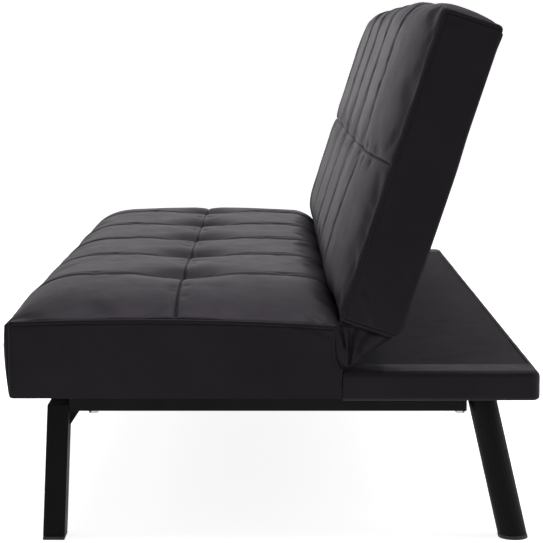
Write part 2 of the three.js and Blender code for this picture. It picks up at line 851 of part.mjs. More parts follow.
// A front leg's outline in X and Z between two heights, drawn in by a wall.
function legOutline(side, z0, z1, inset) {
  const half = legBreadth / 2 - inset;
  return [
    [side * (legCentre(z0) - half), z0],
    [side * (legCentre(z0) + half), z0],
    [side * (legCentre(z1) + half), z1],
    [side * (legCentre(z1) - half), z1],
  ];
}

function frontLeg(side) {
  const outer = plateAlong(legOutline(side, footPad, legTop, 0), [frontLegY, frontLegY + legWidth]);
  const boreY = [frontLegY + tubeWall, frontLegY + legWidth - tubeWall];
  const bore = plateAlong(legOutline(side, -overrun, legTop - tubeWall, tubeWall), boreY);
  return leaned(cut(outer, bore));
}

function frontFoot(side) {
  const grow = slide;
  const padX = [side * (legFootX - legBreadth / 2 - grow), side * (legFootX + legBreadth / 2)];
  const pad = block(padX, [frontLegY, frontLegY + legWidth], [0, footPad - touch]);
  const clear = tubeWall + slide;
  const plugY = [frontLegY + clear, frontLegY + legWidth - clear];
  return leaned(join(pad, plateAlong(legOutline(side, footPad / 2, 3 * footPad, clear), plugY)));
}

function crossTube() {
  const low = legTop - tubeHeight;
  const inner = (z) => legCentre(z) - legBreadth / 2 - touch;
  const outline = [
    [-inner(low), low],
    [inner(low), low],
    [inner(legTop), legTop],
    [-inner(legTop), legTop],
  ];
  const bore = block(
    [-endX, endX],
    [frontLegY + tubeWall, frontLegY + legWidth - tubeWall],
    [low + tubeWall, legTop - tubeWall],
  );
  return cut(plateAlong(outline, [frontLegY, frontLegY + legWidth]), bore);
}

const boltShares = [0.06, 0.985];
const boltHead = 8;
const boltHeadHeight = 5;
const boltRadius = 4;

function railRange() {
  return [frontLegY + legWidth + touch, railRear];
}

function boltPlaces() {
  const [y0, y1] = railRange();
  return boltShares.map((share) => THREE.MathUtils.lerp(y0, y1, share));
}

function sideRail(side) {
  const across = [side * (railX - railWidth), side * railX];
  const [y0, y1] = railRange();
  const outer = block(across, [y0, y1], [railFoot, railTop]);
  const boreX = [side * (railX - railWidth + tubeWall), side * (railX - tubeWall)];
  const bore = block(boreX, [y0 - overrun, y1 + overrun], [railFoot + tubeWall, railTop - tubeWall]);
  const holes = boltPlaces().map((y) =>
    barUp(boltRadius + slide, side * (railX - railWidth / 2), y, [railFoot - overrun, railFoot + overrun]),
  );
  return cut(outer, bore, ...holes);
}

function railBolt(side, y) {
  const x = side * (railX - railWidth / 2);
  const head = barUp(boltHead, x, y, [railFoot - boltHeadHeight, railFoot - touch], 6);
  const shank = barUp(boltRadius, x, y, [railFoot - 2 * touch, railTop - tubeWall - touch], 12);
  return join(head, shank);
}

function weldGusset(side) {
  const [y0] = railRange();
  const middle = railX - railWidth / 2;
  const [high, low] = [railFoot - touch, railFoot - gussetDrop];
  const outline = [
    [y0 - legLean(high), high],
    [y0 - legLean(low), low],
    [y0 + gussetRun, high],
  ];
  return plateAcross(outline, [side * (middle - steel / 2), side * (middle + steel / 2)]);
}

const rearLegRadius = 23;
const rearLegInset = 86;
const rearLegTopY = rear - rearLegInset;
const rearLegRake = 51;
const rearLegSplay = 50;
const rearLegPlateWidth = 84;
const rearLegTop = underside - touch - steel - touch;
const rearLegSides = 20;
const rearFootX = endX - footInset - rearLegRadius;

// A raked round bar between two heights, cut level at both ends.
function rakedBar(side, radius, z0, z1) {
  const foot = new THREE.Vector3(side * rearFootX, rearLegTopY + rearLegRake, 0);
  const head = new THREE.Vector3(side * (rearFootX - rearLegSplay), rearLegTopY, rearLegTop);
  const way = head.clone().sub(foot);
  const long = way.length() * 2;
  const bar = new THREE.CylinderGeometry(radius, radius, long, rearLegSides);
  const turn = new THREE.Quaternion().setFromUnitVectors(new THREE.Vector3(0, 1, 0), way.normalize());
  bar.applyQuaternion(turn);
  bar.translate(...foot.add(head).multiplyScalar(0.5).toArray());
  const slab = block([-length, length], [-depth, depth], [z0, z1]);
  return geometryOf(solidOf(bar).intersect(solidOf(slab)));
}

function rearLeg(side) {
  const bore = rakedBar(side, rearLegRadius - tubeWall, -overrun, rearLegTop + overrun);
  return cut(rakedBar(side, rearLegRadius, footPad, rearLegTop), bore);
}

function rearFoot(side) {
  const pad = rakedBar(side, rearLegRadius + slide, 0, footPad - touch);
  const plug = rakedBar(side, rearLegRadius - tubeWall - slide, footPad / 2, 3 * footPad);
  return join(pad, plug);
}

function rearLegPlate(side) {
  const x = rearFootX - rearLegSplay;
  const half = rearLegPlateWidth / 2;
  const across = [side * (x - half), side * (x + half)];
  const plateRange = [railRear + touch, rearLegTopY + half];
  let plate = block(across, plateRange, [underside - touch - steel, underside - touch]);
  const heights = [underside - steel - pinHeadThickness, underside - steel];
  for (const screwX of [x - half + boltHead, x + half - boltHead]) {
    for (const screwY of [plateRange[0] + boltHead, plateRange[1] - boltHead]) {
      plate = join(plate, barUp(boltHead / 2, side * screwX, screwY, heights, 10));
    }
  }
  return plate;
}

function underFrame() {
  const group = new THREE.Group();
  group.add(named("front_cross_tube", crossTube(), blackSteel));
  for (const { side, hand } of sides) {
    group.add(named(`front_leg_${hand}`, frontLeg(side), blackSteel));
    group.add(named(`front_foot_${hand}`, frontFoot(side), blackPlastic));
    group.add(named(`side_rail_${hand}`, sideRail(side), blackSteel));
    group.add(named(`leg_gusset_plate_${hand}`, weldGusset(side), blackSteel));
    group.add(named(`rear_leg_${hand}`, rearLeg(side), blackSteel));
    group.add(named(`rear_foot_${hand}`, rearFoot(side), blackPlastic));
    group.add(named(`rear_leg_plate_${hand}`, rearLegPlate(side), blackSteel));
    boltPlaces().forEach((y, n) => {
      const place = n === 0 ? "front" : "rear";
      group.add(named(`rail_bolt_${place}_${hand}`, railBolt(side, y), plainSteel));
    });
  }
  return group;
}

const sofa = new THREE.Group();
sofa.add(underFrame(), baseBoards(), ledgeCovering(), seat(), hinges(), backrest(), looseLeather());

export default sofa;
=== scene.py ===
# Looks for the click clack sofa bed: a channelled faux-leather seat and back, a low rear ledge,
# loose gathered leather at the fold, and a black steel under-frame. Metres, in the frame's own axes.
import json
import math
from functools import cached_property
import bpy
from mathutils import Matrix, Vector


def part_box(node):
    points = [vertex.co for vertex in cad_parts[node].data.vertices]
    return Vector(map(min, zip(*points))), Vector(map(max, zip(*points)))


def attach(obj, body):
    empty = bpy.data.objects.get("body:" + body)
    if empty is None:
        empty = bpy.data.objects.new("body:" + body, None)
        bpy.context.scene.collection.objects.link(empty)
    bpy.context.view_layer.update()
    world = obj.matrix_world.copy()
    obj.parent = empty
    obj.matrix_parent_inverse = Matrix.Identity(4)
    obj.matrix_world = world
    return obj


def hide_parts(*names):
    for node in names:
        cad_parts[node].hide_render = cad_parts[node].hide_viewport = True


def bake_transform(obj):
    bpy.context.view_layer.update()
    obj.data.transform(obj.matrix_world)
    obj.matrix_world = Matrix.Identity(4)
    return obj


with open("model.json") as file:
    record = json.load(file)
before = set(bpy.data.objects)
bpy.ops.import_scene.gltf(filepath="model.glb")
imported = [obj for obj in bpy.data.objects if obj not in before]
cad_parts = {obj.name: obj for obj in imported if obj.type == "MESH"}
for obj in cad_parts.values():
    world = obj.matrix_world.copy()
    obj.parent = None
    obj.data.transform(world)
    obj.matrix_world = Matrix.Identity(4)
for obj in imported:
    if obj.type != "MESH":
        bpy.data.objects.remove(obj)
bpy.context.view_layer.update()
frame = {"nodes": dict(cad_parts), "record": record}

from types import SimpleNamespace

import bmesh
import bpy
import numpy as np
from mathutils import Vector

scene = bpy.context.scene
MM = 0.001


def mm(*sizes):
    """Millimetres in metres."""
    return tuple(size * MM for size in sizes)


QUARTER = math.pi / 2
TURN = 2 * math.pi
TINY = 1e-12

# Places read from the frame
end_low, end_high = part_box("seat_end_panel_right")
ledge_low, ledge_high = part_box("ledge_cover")
END = end_high.x
PANEL = end_high.x - end_low.x
COVER_END = END - PANEL
UNDERSIDE = end_low.z
SEAT_FRONT = end_low.y
SEAT_REAR = end_high.y
LEDGE_TOP = ledge_high.z
REAR = ledge_high.y
CHANNELS = 6
PITCH = 2 * END / CHANNELS
SEAMS = [-END + n * PITCH for n in range(1, CHANNELS)]
HANDS = (("left", -1), ("right", 1))

# The backrest's own frame: T runs to its rear, S up its slope
BACK_LEAN = math.radians(18.2)
BACK_FOOT = Vector((0, SEAT_REAR - 6 * MM, UNDERSIDE + 124 * MM))
BACK_HEIGHT, BACK_DEPTH = mm(515, 95)


# Helpers for arrays
def smooth(t):
    t = np.clip(t, 0, 1)
    return t * t * (3 - 2 * t)


def lerp(a, b, t):
    return a + (b - a) * t


def bell(distance, width):
    return np.exp(-((distance / width) ** 2))


def fading(distance, reach):
    return np.exp(-np.abs(distance) / reach)


def rounding(from_edge, radius, drop):
    """How far an edge's rounding turns in at a distance from it: by drop at the edge itself."""
    share = np.clip(1 - from_edge / radius, 0, 1)
    return drop * (1 - np.sqrt(1 - share ** 2))


def joined(*parts):
    """Points from their coordinates, each a number or an array."""
    return np.stack(np.broadcast_arrays(*parts), axis=-1)


def read_at(new_places, places, values, axis=0):
    """Values known at some places along an axis, read at others."""
    return np.apply_along_axis(lambda line: np.interp(new_places, places, line), axis, values)


def lengths_to(path):
    """The distance along a path to each of its points."""
    return np.append(0, np.cumsum(np.linalg.norm(np.diff(path, axis=0), axis=1)))


def normals_of(grid):
    """Unit normals of a grid of points."""
    normals = np.cross(np.gradient(grid, axis=0), np.gradient(grid, axis=1))
    return normals / np.maximum(np.linalg.norm(normals, axis=-1, keepdims=True), TINY)


LATTICE = 64
LATTICE_SHIFT = 1000


def value_noise(u, v, cell, seed):
    """Smooth noise from -1 to 1 over a lattice of seeded random values."""
    lattice = np.random.RandomState(seed).uniform(-1, 1, (LATTICE, LATTICE))
    gu, gv = u / cell + LATTICE_SHIFT, v / cell + LATTICE_SHIFT
    iu, iv = np.floor(gu).astype(int), np.floor(gv).astype(int)
    fu, fv = smooth(gu - iu), smooth(gv - iv)
    corners = [[lattice[(iu + i) % LATTICE, (iv + j) % LATTICE] for i in (0, 1)] for j in (0, 1)]
    low, high = [lerp(*pair, fu) for pair in corners]
    return lerp(low, high, fv)


def unevenness(u, v, layers):
    """Layers of noise added up, each with its height and cell in millimetres, and its seed."""
    return sum(height * MM * value_noise(u, v, cell * MM, seed) for height, cell, seed in layers)


FINE, COARSE = mm(0.8, 9)
GROWTH = 1.18


def graded(start, stop, fine=FINE, coarse=COARSE):
    """Places from start to stop, close together at both ends and wider between."""
    half = abs(stop - start) / 2
    places, step = [0.0], fine
    while places[-1] + step < half:
        places.append(places[-1] + step)
        step = min(step * GROWTH, coarse)
    near = np.array(places + [half])
    full = np.concatenate([near, 2 * half - near[-2::-1]])
    return start + full * np.sign(stop - start)


# From a piece's own coordinates to the frame's axes
def back_to_world(points):
    """Points (x, t, s) of the backrest's own frame."""
    x, t, s = np.moveaxis(points, -1, 0)
    y = BACK_FOOT.y + t * math.cos(BACK_LEAN) + s * math.sin(BACK_LEAN)
    z = BACK_FOOT.z - t * math.sin(BACK_LEAN) + s * math.cos(BACK_LEAN)
    return joined(x, y, z)


def back_form_to_world(points):
    """Points (x, a, h) of the back's form: a runs down from its top, h forward from its rear."""
    return back_to_world((0, BACK_DEPTH, BACK_HEIGHT) + points[..., [0, 2, 1]] * (1, -1, -1))


def seat_to_world(points):
    """Points (x, a, h) of the seat's form: a runs back from its front, h up from its underside."""
    return points + (0, SEAT_FRONT, UNDERSIDE)


# Mesh helpers
MERGE_DISTANCE = 1e-6
NO_LENGTH = 1e-7


def new_object(name, vertices, faces, material=None):
    mesh = bpy.data.meshes.new(name)
    mesh.from_pydata([tuple(v) for v in vertices], [], [tuple(f) for f in faces])
    mesh.update()
    obj = bpy.data.objects.new(name, mesh)
    scene.collection.objects.link(obj)
    mesh.polygons.foreach_set("use_smooth", [True] * len(mesh.polygons))
    if material is not None:
        mesh.materials.append(material)
    return obj


def closed_object(name, vertices, faces, material):
    """A closed body without doubled points, whose faces all point outwards."""
    obj = new_object(name, vertices, faces, material)
    mesh = bmesh.new()
    mesh.from_mesh(obj.data)
    bmesh.ops.remove_doubles(mesh, verts=mesh.verts, dist=MERGE_DISTANCE)
    bmesh.ops.dissolve_degenerate(mesh, edges=mesh.edges, dist=NO_LENGTH)
    bmesh.ops.recalc_face_normals(mesh, faces=mesh.faces)
    mesh.to_mesh(obj.data)
    mesh.free()
    return obj


def grid_faces(rows, columns, first=0, wrap=False):
    index = first + np.arange(rows * columns).reshape(rows, columns)
    if wrap:
        index = np.concatenate([index, index[:, :1]], axis=1)
    quads = np.stack([index[:-1, :-1], index[1:, :-1], index[1:, 1:], index[:-1, 1:]], axis=-1)
    return quads.reshape(-1, 4).tolist()


def tube_faces(rows, columns, first=0):
    """Faces through rings of points, capped at both ends."""
    ends = [first + k for k in range(columns)], [first + (rows - 1) * columns + k for k in range(columns)]
    return [*grid_faces(rows, columns, first, wrap=True), ends[0], ends[1][::-1]]


def tube_object(name, rings, material):
    """A closed body through rings of points."""
    return closed_object(name, rings.reshape(-1, 3), tube_faces(*rings.shape[:2]), material)


def shell_object(name, outer, inner, material):
    """A closed thin body between two grids of the same size."""
    rows, columns = outer.shape[:2]
    count = rows * columns
    index = np.arange(count).reshape(rows, columns)
    rim = np.concatenate([index[0], index[1:, -1], index[-1, -2::-1], index[-2:0:-1, 0]])
    beyond = np.roll(rim, -1)
    faces = grid_faces(rows, columns)
    faces += [face[::-1] for face in grid_faces(rows, columns, first=count)]
    faces += np.stack([beyond, rim, rim + count, beyond + count], axis=-1).tolist()
    points = np.concatenate([outer.reshape(-1, 3), inner.reshape(-1, 3)])
    return closed_object(name, points, faces, material)


def stand_in(piece, node, body=None):
    """Puts a piece in a CAD node's place: it moves with a body, or else its place is baked into its points.
    """
    if body is None:
        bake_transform(piece)
    else:
        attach(piece, body)
    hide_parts(node)
    return piece


# Cloth: a net is inflated between its sewn lines, and the movement is read back
CLOTH_FRAMES = 18
CLOTH_CAP, CLOTH_STEP = mm(3, 11)


def swell(points, sewn):
    """How far each point of a sewn panel moves when it is filled, no further than the cap."""
    obj = new_object("cloth_trial", points.reshape(-1, 3), grid_faces(*points.shape[:2]))
    group = obj.vertex_groups.new(name="sewn")
    group.add(np.flatnonzero(sewn.ravel()).tolist(), 1.0, "REPLACE")
    cloth = obj.modifiers.new("Cloth", "CLOTH")
    settings = cloth.settings
    settings.quality = 6
    settings.mass = 0.4
    settings.tension_stiffness = 25
    settings.compression_stiffness = 25
    settings.shear_stiffness = 10
    settings.bending_stiffness = 1.5
    settings.air_damping = 3
    settings.use_pressure = True
    settings.uniform_pressure_force = 1.1
    settings.shrink_min = -0.012
    settings.vertex_group_mass = group.name
    settings.effector_weights.gravity = 0
    cloth.collision_settings.use_collision = False
    cloth.point_cache.frame_start = 1
    cloth.point_cache.frame_end = CLOTH_FRAMES
    for step in range(1, CLOTH_FRAMES + 1):
        scene.frame_set(step)
    shape = obj.evaluated_get(bpy.context.evaluated_depsgraph_get()).to_mesh()
    moved = np.zeros(len(shape.vertices) * 3)
    shape.vertices.foreach_get("co", moved)
    mesh = obj.data
    bpy.data.objects.remove(obj)
    bpy.data.meshes.remove(mesh)
    scene.frame_set(1)
    travel = moved.reshape(points.shape) - points
    size = np.linalg.norm(travel, axis=-1, keepdims=True)
    return travel * CLOTH_CAP * np.tanh(size / CLOTH_CAP) / np.maximum(size, TINY)


# Materials
class Finish:
    """A new material, with short ways to add nodes to it."""

    def __init__(self, name):
        self.material = bpy.data.materials.new(name)
        self.material.use_nodes = True
        self.tree = self.material.node_tree

    @cached_property
    def place(self):
        """The object's own coordinates."""
        return self.add("TexCoord").outputs["Object"]

    def give(self, socket, value):
        """Links an input to another node's output, or sets its value."""
        if isinstance(value, bpy.types.NodeSocket):
            self.tree.links.new(value, socket)
        else:
            socket.default_value = value

    def fill(self, node, **inputs):
        """Gives a node its inputs by name, with _ for a space."""
        for name, value in inputs.items():
            self.give(node.inputs[name.replace("_", " ")], value)
        return node

    def add(self, kind, **inputs):
        return self.fill(self.tree.nodes.new("ShaderNode" + kind), **inputs)

    def shade(self, **inputs):
        """Gives the shader its inputs, and hands over the finished material."""
        self.fill(self.tree.nodes["Principled BSDF"], **inputs)
        return self.material

    def combine(self, operation, *values):
        node = self.add("Math")
        node.operation = operation
        for socket, value in zip(node.inputs, values):
            self.give(socket, value)
        return node.outputs[0]

    def stretched(self, scale):
        return self.add("Mapping", Vector=self.place, Scale=scale).outputs["Vector"]

    def noise(self, scale, detail, roughness=0.55, place=None):
        place = self.place if place is None else place
        node = self.add("TexNoise", Vector=place, Scale=scale, Detail=detail, Roughness=roughness)
        return node.outputs["Fac"]

    def waves(self, way, place, scale, distortion, detail):
        node = self.add("TexWave", Vector=place, Scale=scale, Distortion=distortion, Detail=detail)
        node.bands_direction = way
        return node.outputs["Fac"]

    def ramp(self, value, low, dark, high, light):
        """From a dark colour at low to a light one at high."""
        node = self.add("ValToRGB", Fac=value)
        for element, stop, colour in zip(node.color_ramp.elements, (low, high), (dark, light)):
            element.position = stop
            element.color = (*colour, 1)
        return node.outputs["Color"]

    def spread(self, value, low, high):
        """Stretches the middle of a noise over a range."""
        node = self.add("MapRange", From_Min=0.3, From_Max=0.7, To_Min=low, To_Max=high, Value=value)
        return node.outputs["Result"]

    def relief(self, *layers):
        """Bumps on top of one another, each with its height, distance and strength."""
        below = {}
        for height, distance, strength in layers:
            node = self.add("Bump", Height=height, Distance=distance, Strength=strength, **below)
            below = {"Normal": node.outputs["Normal"]}
        return below["Normal"]


LEATHER_DARK = (0.0082, 0.0075, 0.0090)
LEATHER_LIGHT = (0.0154, 0.0137, 0.0164)
LEATHER_GLOSS_TINT = (0.98, 0.91, 1.0, 1)


def leather_material():
    """Grained faux leather: fine pebbles, soft creases and a slightly uneven sheen."""
    finish = Finish("leather")
    patches = finish.noise(7, 5)
    uneven = finish.noise(28, 6, 0.65)
    pebbles = finish.add("TexVoronoi", Vector=finish.place, Scale=780)
    pebbles.feature = "SMOOTH_F1"
    finish.fill(pebbles, Smoothness=0.6)
    fine = finish.noise(1600, 3)
    creases = finish.noise(60, 8, 0.7)
    layers = (creases, 0.8 * MM, 0.18), (pebbles.outputs["Distance"], 0.25 * MM, 0.55), (fine, 0.08 * MM, 0.5)
    return finish.shade(
        Base_Color=finish.ramp(patches, 0.3, LEATHER_DARK, 0.7, LEATHER_LIGHT),
        Roughness=finish.spread(uneven, 0.51, 0.59),
        Normal=finish.relief(*layers),
        Specular_IOR_Level=0.14,
        Specular_Tint=LEATHER_GLOSS_TINT,
    )


# Slubs in a cloth's colour: how they are drawn out along the thread, and their share
SLUB_SCALE = (5.0, 1.0, 1.0)
SLUB_SHARE = 0.45
BANDS_PER_UNIT = 20


def cloth_material(name, dark, light, thread=1 / 1100, sheen=0.05, rough=0.95):
    """Plain woven cloth with crossing threads and a little fuzz."""
    finish = Finish(name)
    scale = TURN / (BANDS_PER_UNIT * thread)
    weave = finish.combine("MULTIPLY", *[finish.waves(way, finish.place, scale, 1.2, 2) for way in "XY"])
    patches = finish.noise(12, 7, 0.7)
    slubs = finish.noise(26, 4, 0.65, finish.stretched(SLUB_SCALE))
    tone = finish.combine("MULTIPLY_ADD", slubs, SLUB_SHARE, patches)
    return finish.shade(
        Base_Color=finish.ramp(tone, 0.65, dark, 0.80, light),
        Roughness=finish.spread(patches, rough - 0.08, rough),
        Normal=finish.relief((patches, 1.2 * MM, 0.4), (weave, 0.3 * MM, 0.6)),
        Sheen_Weight=sheen,
        Sheen_Roughness=0.5,
        Specular_IOR_Level=0.2,
    )


def metal_material(name, dark, light, metallic, rough, speckle, specular=0.5):
    """Steel, bare or powder coated: speckled relief over broad uneven patches."""
    finish = Finish(name)
    patches = finish.noise(22, 6, 0.6)
    grains = finish.noise(1400, 2)
    return finish.shade(
        Base_Color=finish.ramp(patches, 0.3, dark, 0.7, light),
        Roughness=finish.spread(patches, *rough),
        Normal=finish.relief((patches, 0.5 * MM, 0.15), (grains, speckle, 0.6)),
        Metallic=metallic,
        Specular_IOR_Level=specular,
    )


def timber_material():
    """Sawn softwood with long grain."""
    finish = Finish("timber")
    grain = finish.stretched((0.15, 1, 1))
    rings = finish.waves("Z", grain, 35, 7, 4)
    fibres = finish.noise(400, 5, 0.7, grain)
    return finish.shade(
        Base_Color=finish.ramp(rings, 0.1, (0.34, 0.2, 0.1), 0.9, (0.55, 0.38, 0.22)),
        Roughness=finish.spread(fibres, 0.65, 0.85),
        Normal=finish.relief((fibres, 0.4 * MM, 0.6)),
    )


def foam_material():
    """Cream polyurethane foam with open pores."""
    finish = Finish("foam")
    pores = finish.add("TexVoronoi", Scale=500, Vector=finish.place).outputs["Distance"]
    return finish.shade(
        Base_Color=finish.ramp(pores, 0.1, (0.5, 0.43, 0.28), 0.6, (0.72, 0.65, 0.47)),
        Roughness=finish.spread(pores, 0.85, 0.95),
        Normal=finish.relief((pores, 0.6 * MM, 0.8)),
    )


LEATHER = leather_material()
THREAD = cloth_material("thread", (0.006, 0.0055, 0.006), (0.013, 0.012, 0.013), thread=1 / 3000, rough=0.8)
LEDGE_CLOTH = cloth_material("ledge_cloth", (0.0095, 0.0084, 0.0094), (0.0215, 0.0188, 0.0212))
LINING = cloth_material("lining", (0.010, 0.010, 0.010), (0.018, 0.018, 0.018), thread=1 / 700)
WEBBING = cloth_material("webbing", (0.06, 0.05, 0.03), (0.11, 0.1, 0.07), thread=1 / 500, sheen=0.1)
BLACK_STEEL = metal_material(
    "black_steel", (0.0042, 0.0042, 0.0046), (0.0065, 0.0064, 0.0070), 0, (0.5, 0.65), 0.12 * MM, 0.12
)
ZINC = metal_material("hinge_steel", (0.36, 0.37, 0.38), (0.5, 0.5, 0.52), 1, (0.28, 0.45), 0.03 * MM)
PLASTIC = metal_material("foot_plastic", (0.008,) * 3, (0.012,) * 3, 0, (0.5, 0.7), 0.06 * MM)
TIMBER = timber_material()
FOAM = foam_material()


# Camera, at the photograph's own place and lens
SENSOR = 36
LENS = 125.83
CAMERA_PLACE = (3.8527, -0.0037, 0.7957)
CAMERA_DOWN = math.radians(6.881)
FARTHEST = 100


def add_camera():
    data = bpy.data.cameras.new("camera")
    data.sensor_width = SENSOR
    data.lens = LENS
    data.clip_end = FARTHEST
    camera = bpy.data.objects.new("camera", data)
    scene.collection.objects.link(camera)
    camera.location = CAMERA_PLACE
    camera.rotation_euler = (QUARTER - CAMERA_DOWN, 0, QUARTER)
    scene.camera = camera


# Stage: a pale dish whose rim curves up, and soft lamps round it
STAGE_GREY = 0.82
STAGE_LIFT = 0.88
WORLD_LEVEL = 0.17
STUDIO_TINT = (0.985, 0.925, 1.0)
FLOOR_RINGS = ((0.001, 0), (3, 0), (6, 0), (9, 0))
FLOOR_SIDES = 64
RIM_RADIUS = 4
# Each lamp's name, place, aim, width, breadth and power
LAMPS = (
    ("overhead", (-0.1, 0.1, 3.4), (0, 0, 0.3), 3.0, 3.0, 121),
    ("front_key", (0.0, -3.2, 2.3), (0, 0, 0.5), 2.6, 1.8, 14),
    ("far_wash", (-3.6, -0.4, 1.5), (0, 0, 0.4), 2.4, 2.0, 16),
    ("rear_fill", (0.4, 3.2, 2.2), (0, 0.2, 0.4), 2.4, 1.6, 34),
)


def stage_material():
    """Pale matt paper, lifted to white for the eye and in reflections, that keeps the shadows."""
    finish = Finish("stage")
    rays = finish.add("LightPath").outputs
    seen = finish.combine("MAXIMUM", rays["Is Camera Ray"], rays["Is Glossy Ray"])
    seen = finish.combine("MAXIMUM", seen, rays["Is Transmission Ray"])
    return finish.shade(
        Base_Color=(STAGE_GREY, STAGE_GREY, STAGE_GREY, 1),
        Roughness=1,
        Specular_IOR_Level=0,
        Emission_Color=(1, 1, 1, 1),
        Emission_Strength=finish.combine("MULTIPLY", seen, STAGE_LIFT),
    )


def add_floor():
    edge = FLOOR_RINGS[-1][0]
    slopes = np.linspace(0.12, QUARTER, 12)
    rim = joined(edge + RIM_RADIUS * np.sin(slopes), RIM_RADIUS * (1 - np.cos(slopes)))
    radius, z = np.concatenate([FLOOR_RINGS, rim]).T[..., None]
    turns = np.linspace(0, TURN, FLOOR_SIDES, endpoint=False)
    points = joined(radius * np.cos(turns), radius * np.sin(turns), z)
    faces = grid_faces(*points.shape[:2], wrap=True)
    new_object("studio_floor", points.reshape(-1, 3), faces, stage_material())


def add_lights():
    scene.world = bpy.data.worlds.new("world")
    scene.world.use_nodes = True
    background = scene.world.node_tree.nodes["Background"]
    background.inputs["Color"].default_value = (*STUDIO_TINT, 1)
    background.inputs["Strength"].default_value = WORLD_LEVEL
    for name, place, aim, width, breadth, power in LAMPS:
        data = bpy.data.lights.new(name, "AREA")
        data.shape = "RECTANGLE"
        data.size = width
        data.size_y = breadth
        data.energy = power
        data.color = STUDIO_TINT
        lamp = bpy.data.objects.new(name, data)
        scene.collection.objects.link(lamp)
        lamp.location = place
        lamp.rotation_euler = (Vector(aim) - Vector(place)).to_track_quat("-Z", "Y").to_euler()
    scene.view_settings.view_transform = "Standard"


# Cushions. A form is an outline of height h over run a, from the base where the cover starts:
# seams: the end seam's height at the start, middle and finish of the run
# crown, dome, tilt: the top's height, how far its edges fall, and how far it leans
# bulge: how far the face at the start swells, and how soon
# bulge_end, crown_end: the distance from an end over which each rises, and how steeply
# start_roll, finish_roll: the rounding over each edge, along the run and in height
# corners: its radii at the ends; feet: inset, rise and overhang where it meets the base
# lip: how far it turns under the base, and how high the flat between lies
# Depths and widths of the quilting come next, and then what is only on the end panels:
# creases, ridges: start, finish, width, depth; tuck: how far the fold draws the end forward
SEAT = SimpleNamespace(
    name="seat",
    body="base",
    to_world=seat_to_world,
    fill=0.75,
    run=SEAT_REAR - SEAT_FRONT,
    seams=mm(122, 126, 116),
    crown=164.5 * MM,
    dome=9 * MM,
    tilt=0.0,
    bulge=(12.5 * MM, 0.5),
    bulge_end=(290 * MM, 0.2),
    crown_end=(290 * MM, 0.72),
    start_roll=mm(92, 62),
    finish_roll=mm(66, 54),
    corners=mm(5, 4),
    feet=(mm(6, 6, 0), mm(4, 4, 0)),
    lip=mm(15, 1.6),
    valley=mm(2.0, 26),
    turned=6 * MM,
    tuft=mm(19.0, 50, 56),
    pin=mm(2.0, 10),
    pleats=0.7 * MM,
    corner_pull=0.0,
    seed=11,
    creases=(
        (mm(488, 112), mm(520, 96), 5 * MM, 1.6 * MM),
        (mm(440, 122), mm(515, 108), 7 * MM, 1.0 * MM),
        (mm(3, 108), mm(60, 122), 8 * MM, 0.7 * MM),
    ),
    ridges=(),
    tuck=11 * MM,
    sewn_round=False,
    stitch_foot=6 * MM,
)
BACK = SimpleNamespace(
    name="back",
    body="backrest",
    to_world=back_form_to_world,
    fill=0.8,
    run=BACK_HEIGHT,
    seams=(BACK_DEPTH, BACK_DEPTH, BACK_DEPTH),
    crown=BACK_DEPTH + 38 * MM,
    dome=3 * MM,
    tilt=4 * MM,
    bulge=(13.5 * MM, 0.3),
    bulge_end=(190 * MM, 0.8),
    crown_end=(295 * MM, 0.85),
    start_roll=mm(24, 36),
    finish_roll=mm(80, 52),
    corners=mm(6, 3),
    feet=(mm(8, 7, 2.0), mm(18, 19, 4.2)),
    lip=mm(8, 1),
    valley=mm(2.4, 30),
    turned=9 * MM,
    tuft=mm(10, 50, 66),
    pin=mm(2.6, 11),
    pleats=1.0 * MM,
    corner_pull=7 * MM,
    seed=23,
    creases=(
        (mm(440, 66), mm(500, 30), 9 * MM, 1.3 * MM),
        (mm(400, 12), mm(512, 22), 9 * MM, 0.9 * MM),
    ),
    ridges=((mm(456, 76), mm(508, 44), 3.4 * MM, 4.6 * MM),),
    tuck=0.0,
    sewn_round=True,
    stitch_foot=4 * MM,
)
FOOT_STEPS = 7
FACE_STEPS = 14
ROLL_STEPS = 20
CROWN_STEP = 6 * MM
OUTLINE_EASING = 6
# Where along the run a cover's overhang changes from the first to the last
OVERHANG_FROM, OVERHANG_OVER = 0.32, 0.16


def seam_height(form, a):
    """The parabola of an end seam through its heights at the start, middle and finish."""
    share = a / form.run
    first, middle, last = form.seams
    ends = first * (1 - share) * (1 - 2 * share) + last * share * (2 * share - 1)
    return ends + 4 * middle * share * (1 - share)


def foot_turn(foot):
    """The rounding where the outline leaves the base, as (a, h)."""
    inset, rise, over = foot
    turn = np.linspace(0, QUARTER, FOOT_STEPS, endpoint=False)
    return joined(inset * (1 - np.sin(turn)), rise * (1 - np.cos(turn)) - over)


def overhang(form, a):
    """How far a cover reaches beyond its base plane, at each place along the run."""
    first, last = [foot[2] for foot in form.feet]
    return lerp(first, last, smooth((a / form.run - OVERHANG_FROM) / OVERHANG_OVER))


def foot_level(form, a):
    """The height where an end panel starts, at each place along the run."""
    (first, first_rise, _), (last, last_rise, _) = form.feet
    rise = rounding(a, first, first_rise) + rounding(form.run - a, last, last_rise)
    return rise - overhang(form, a)


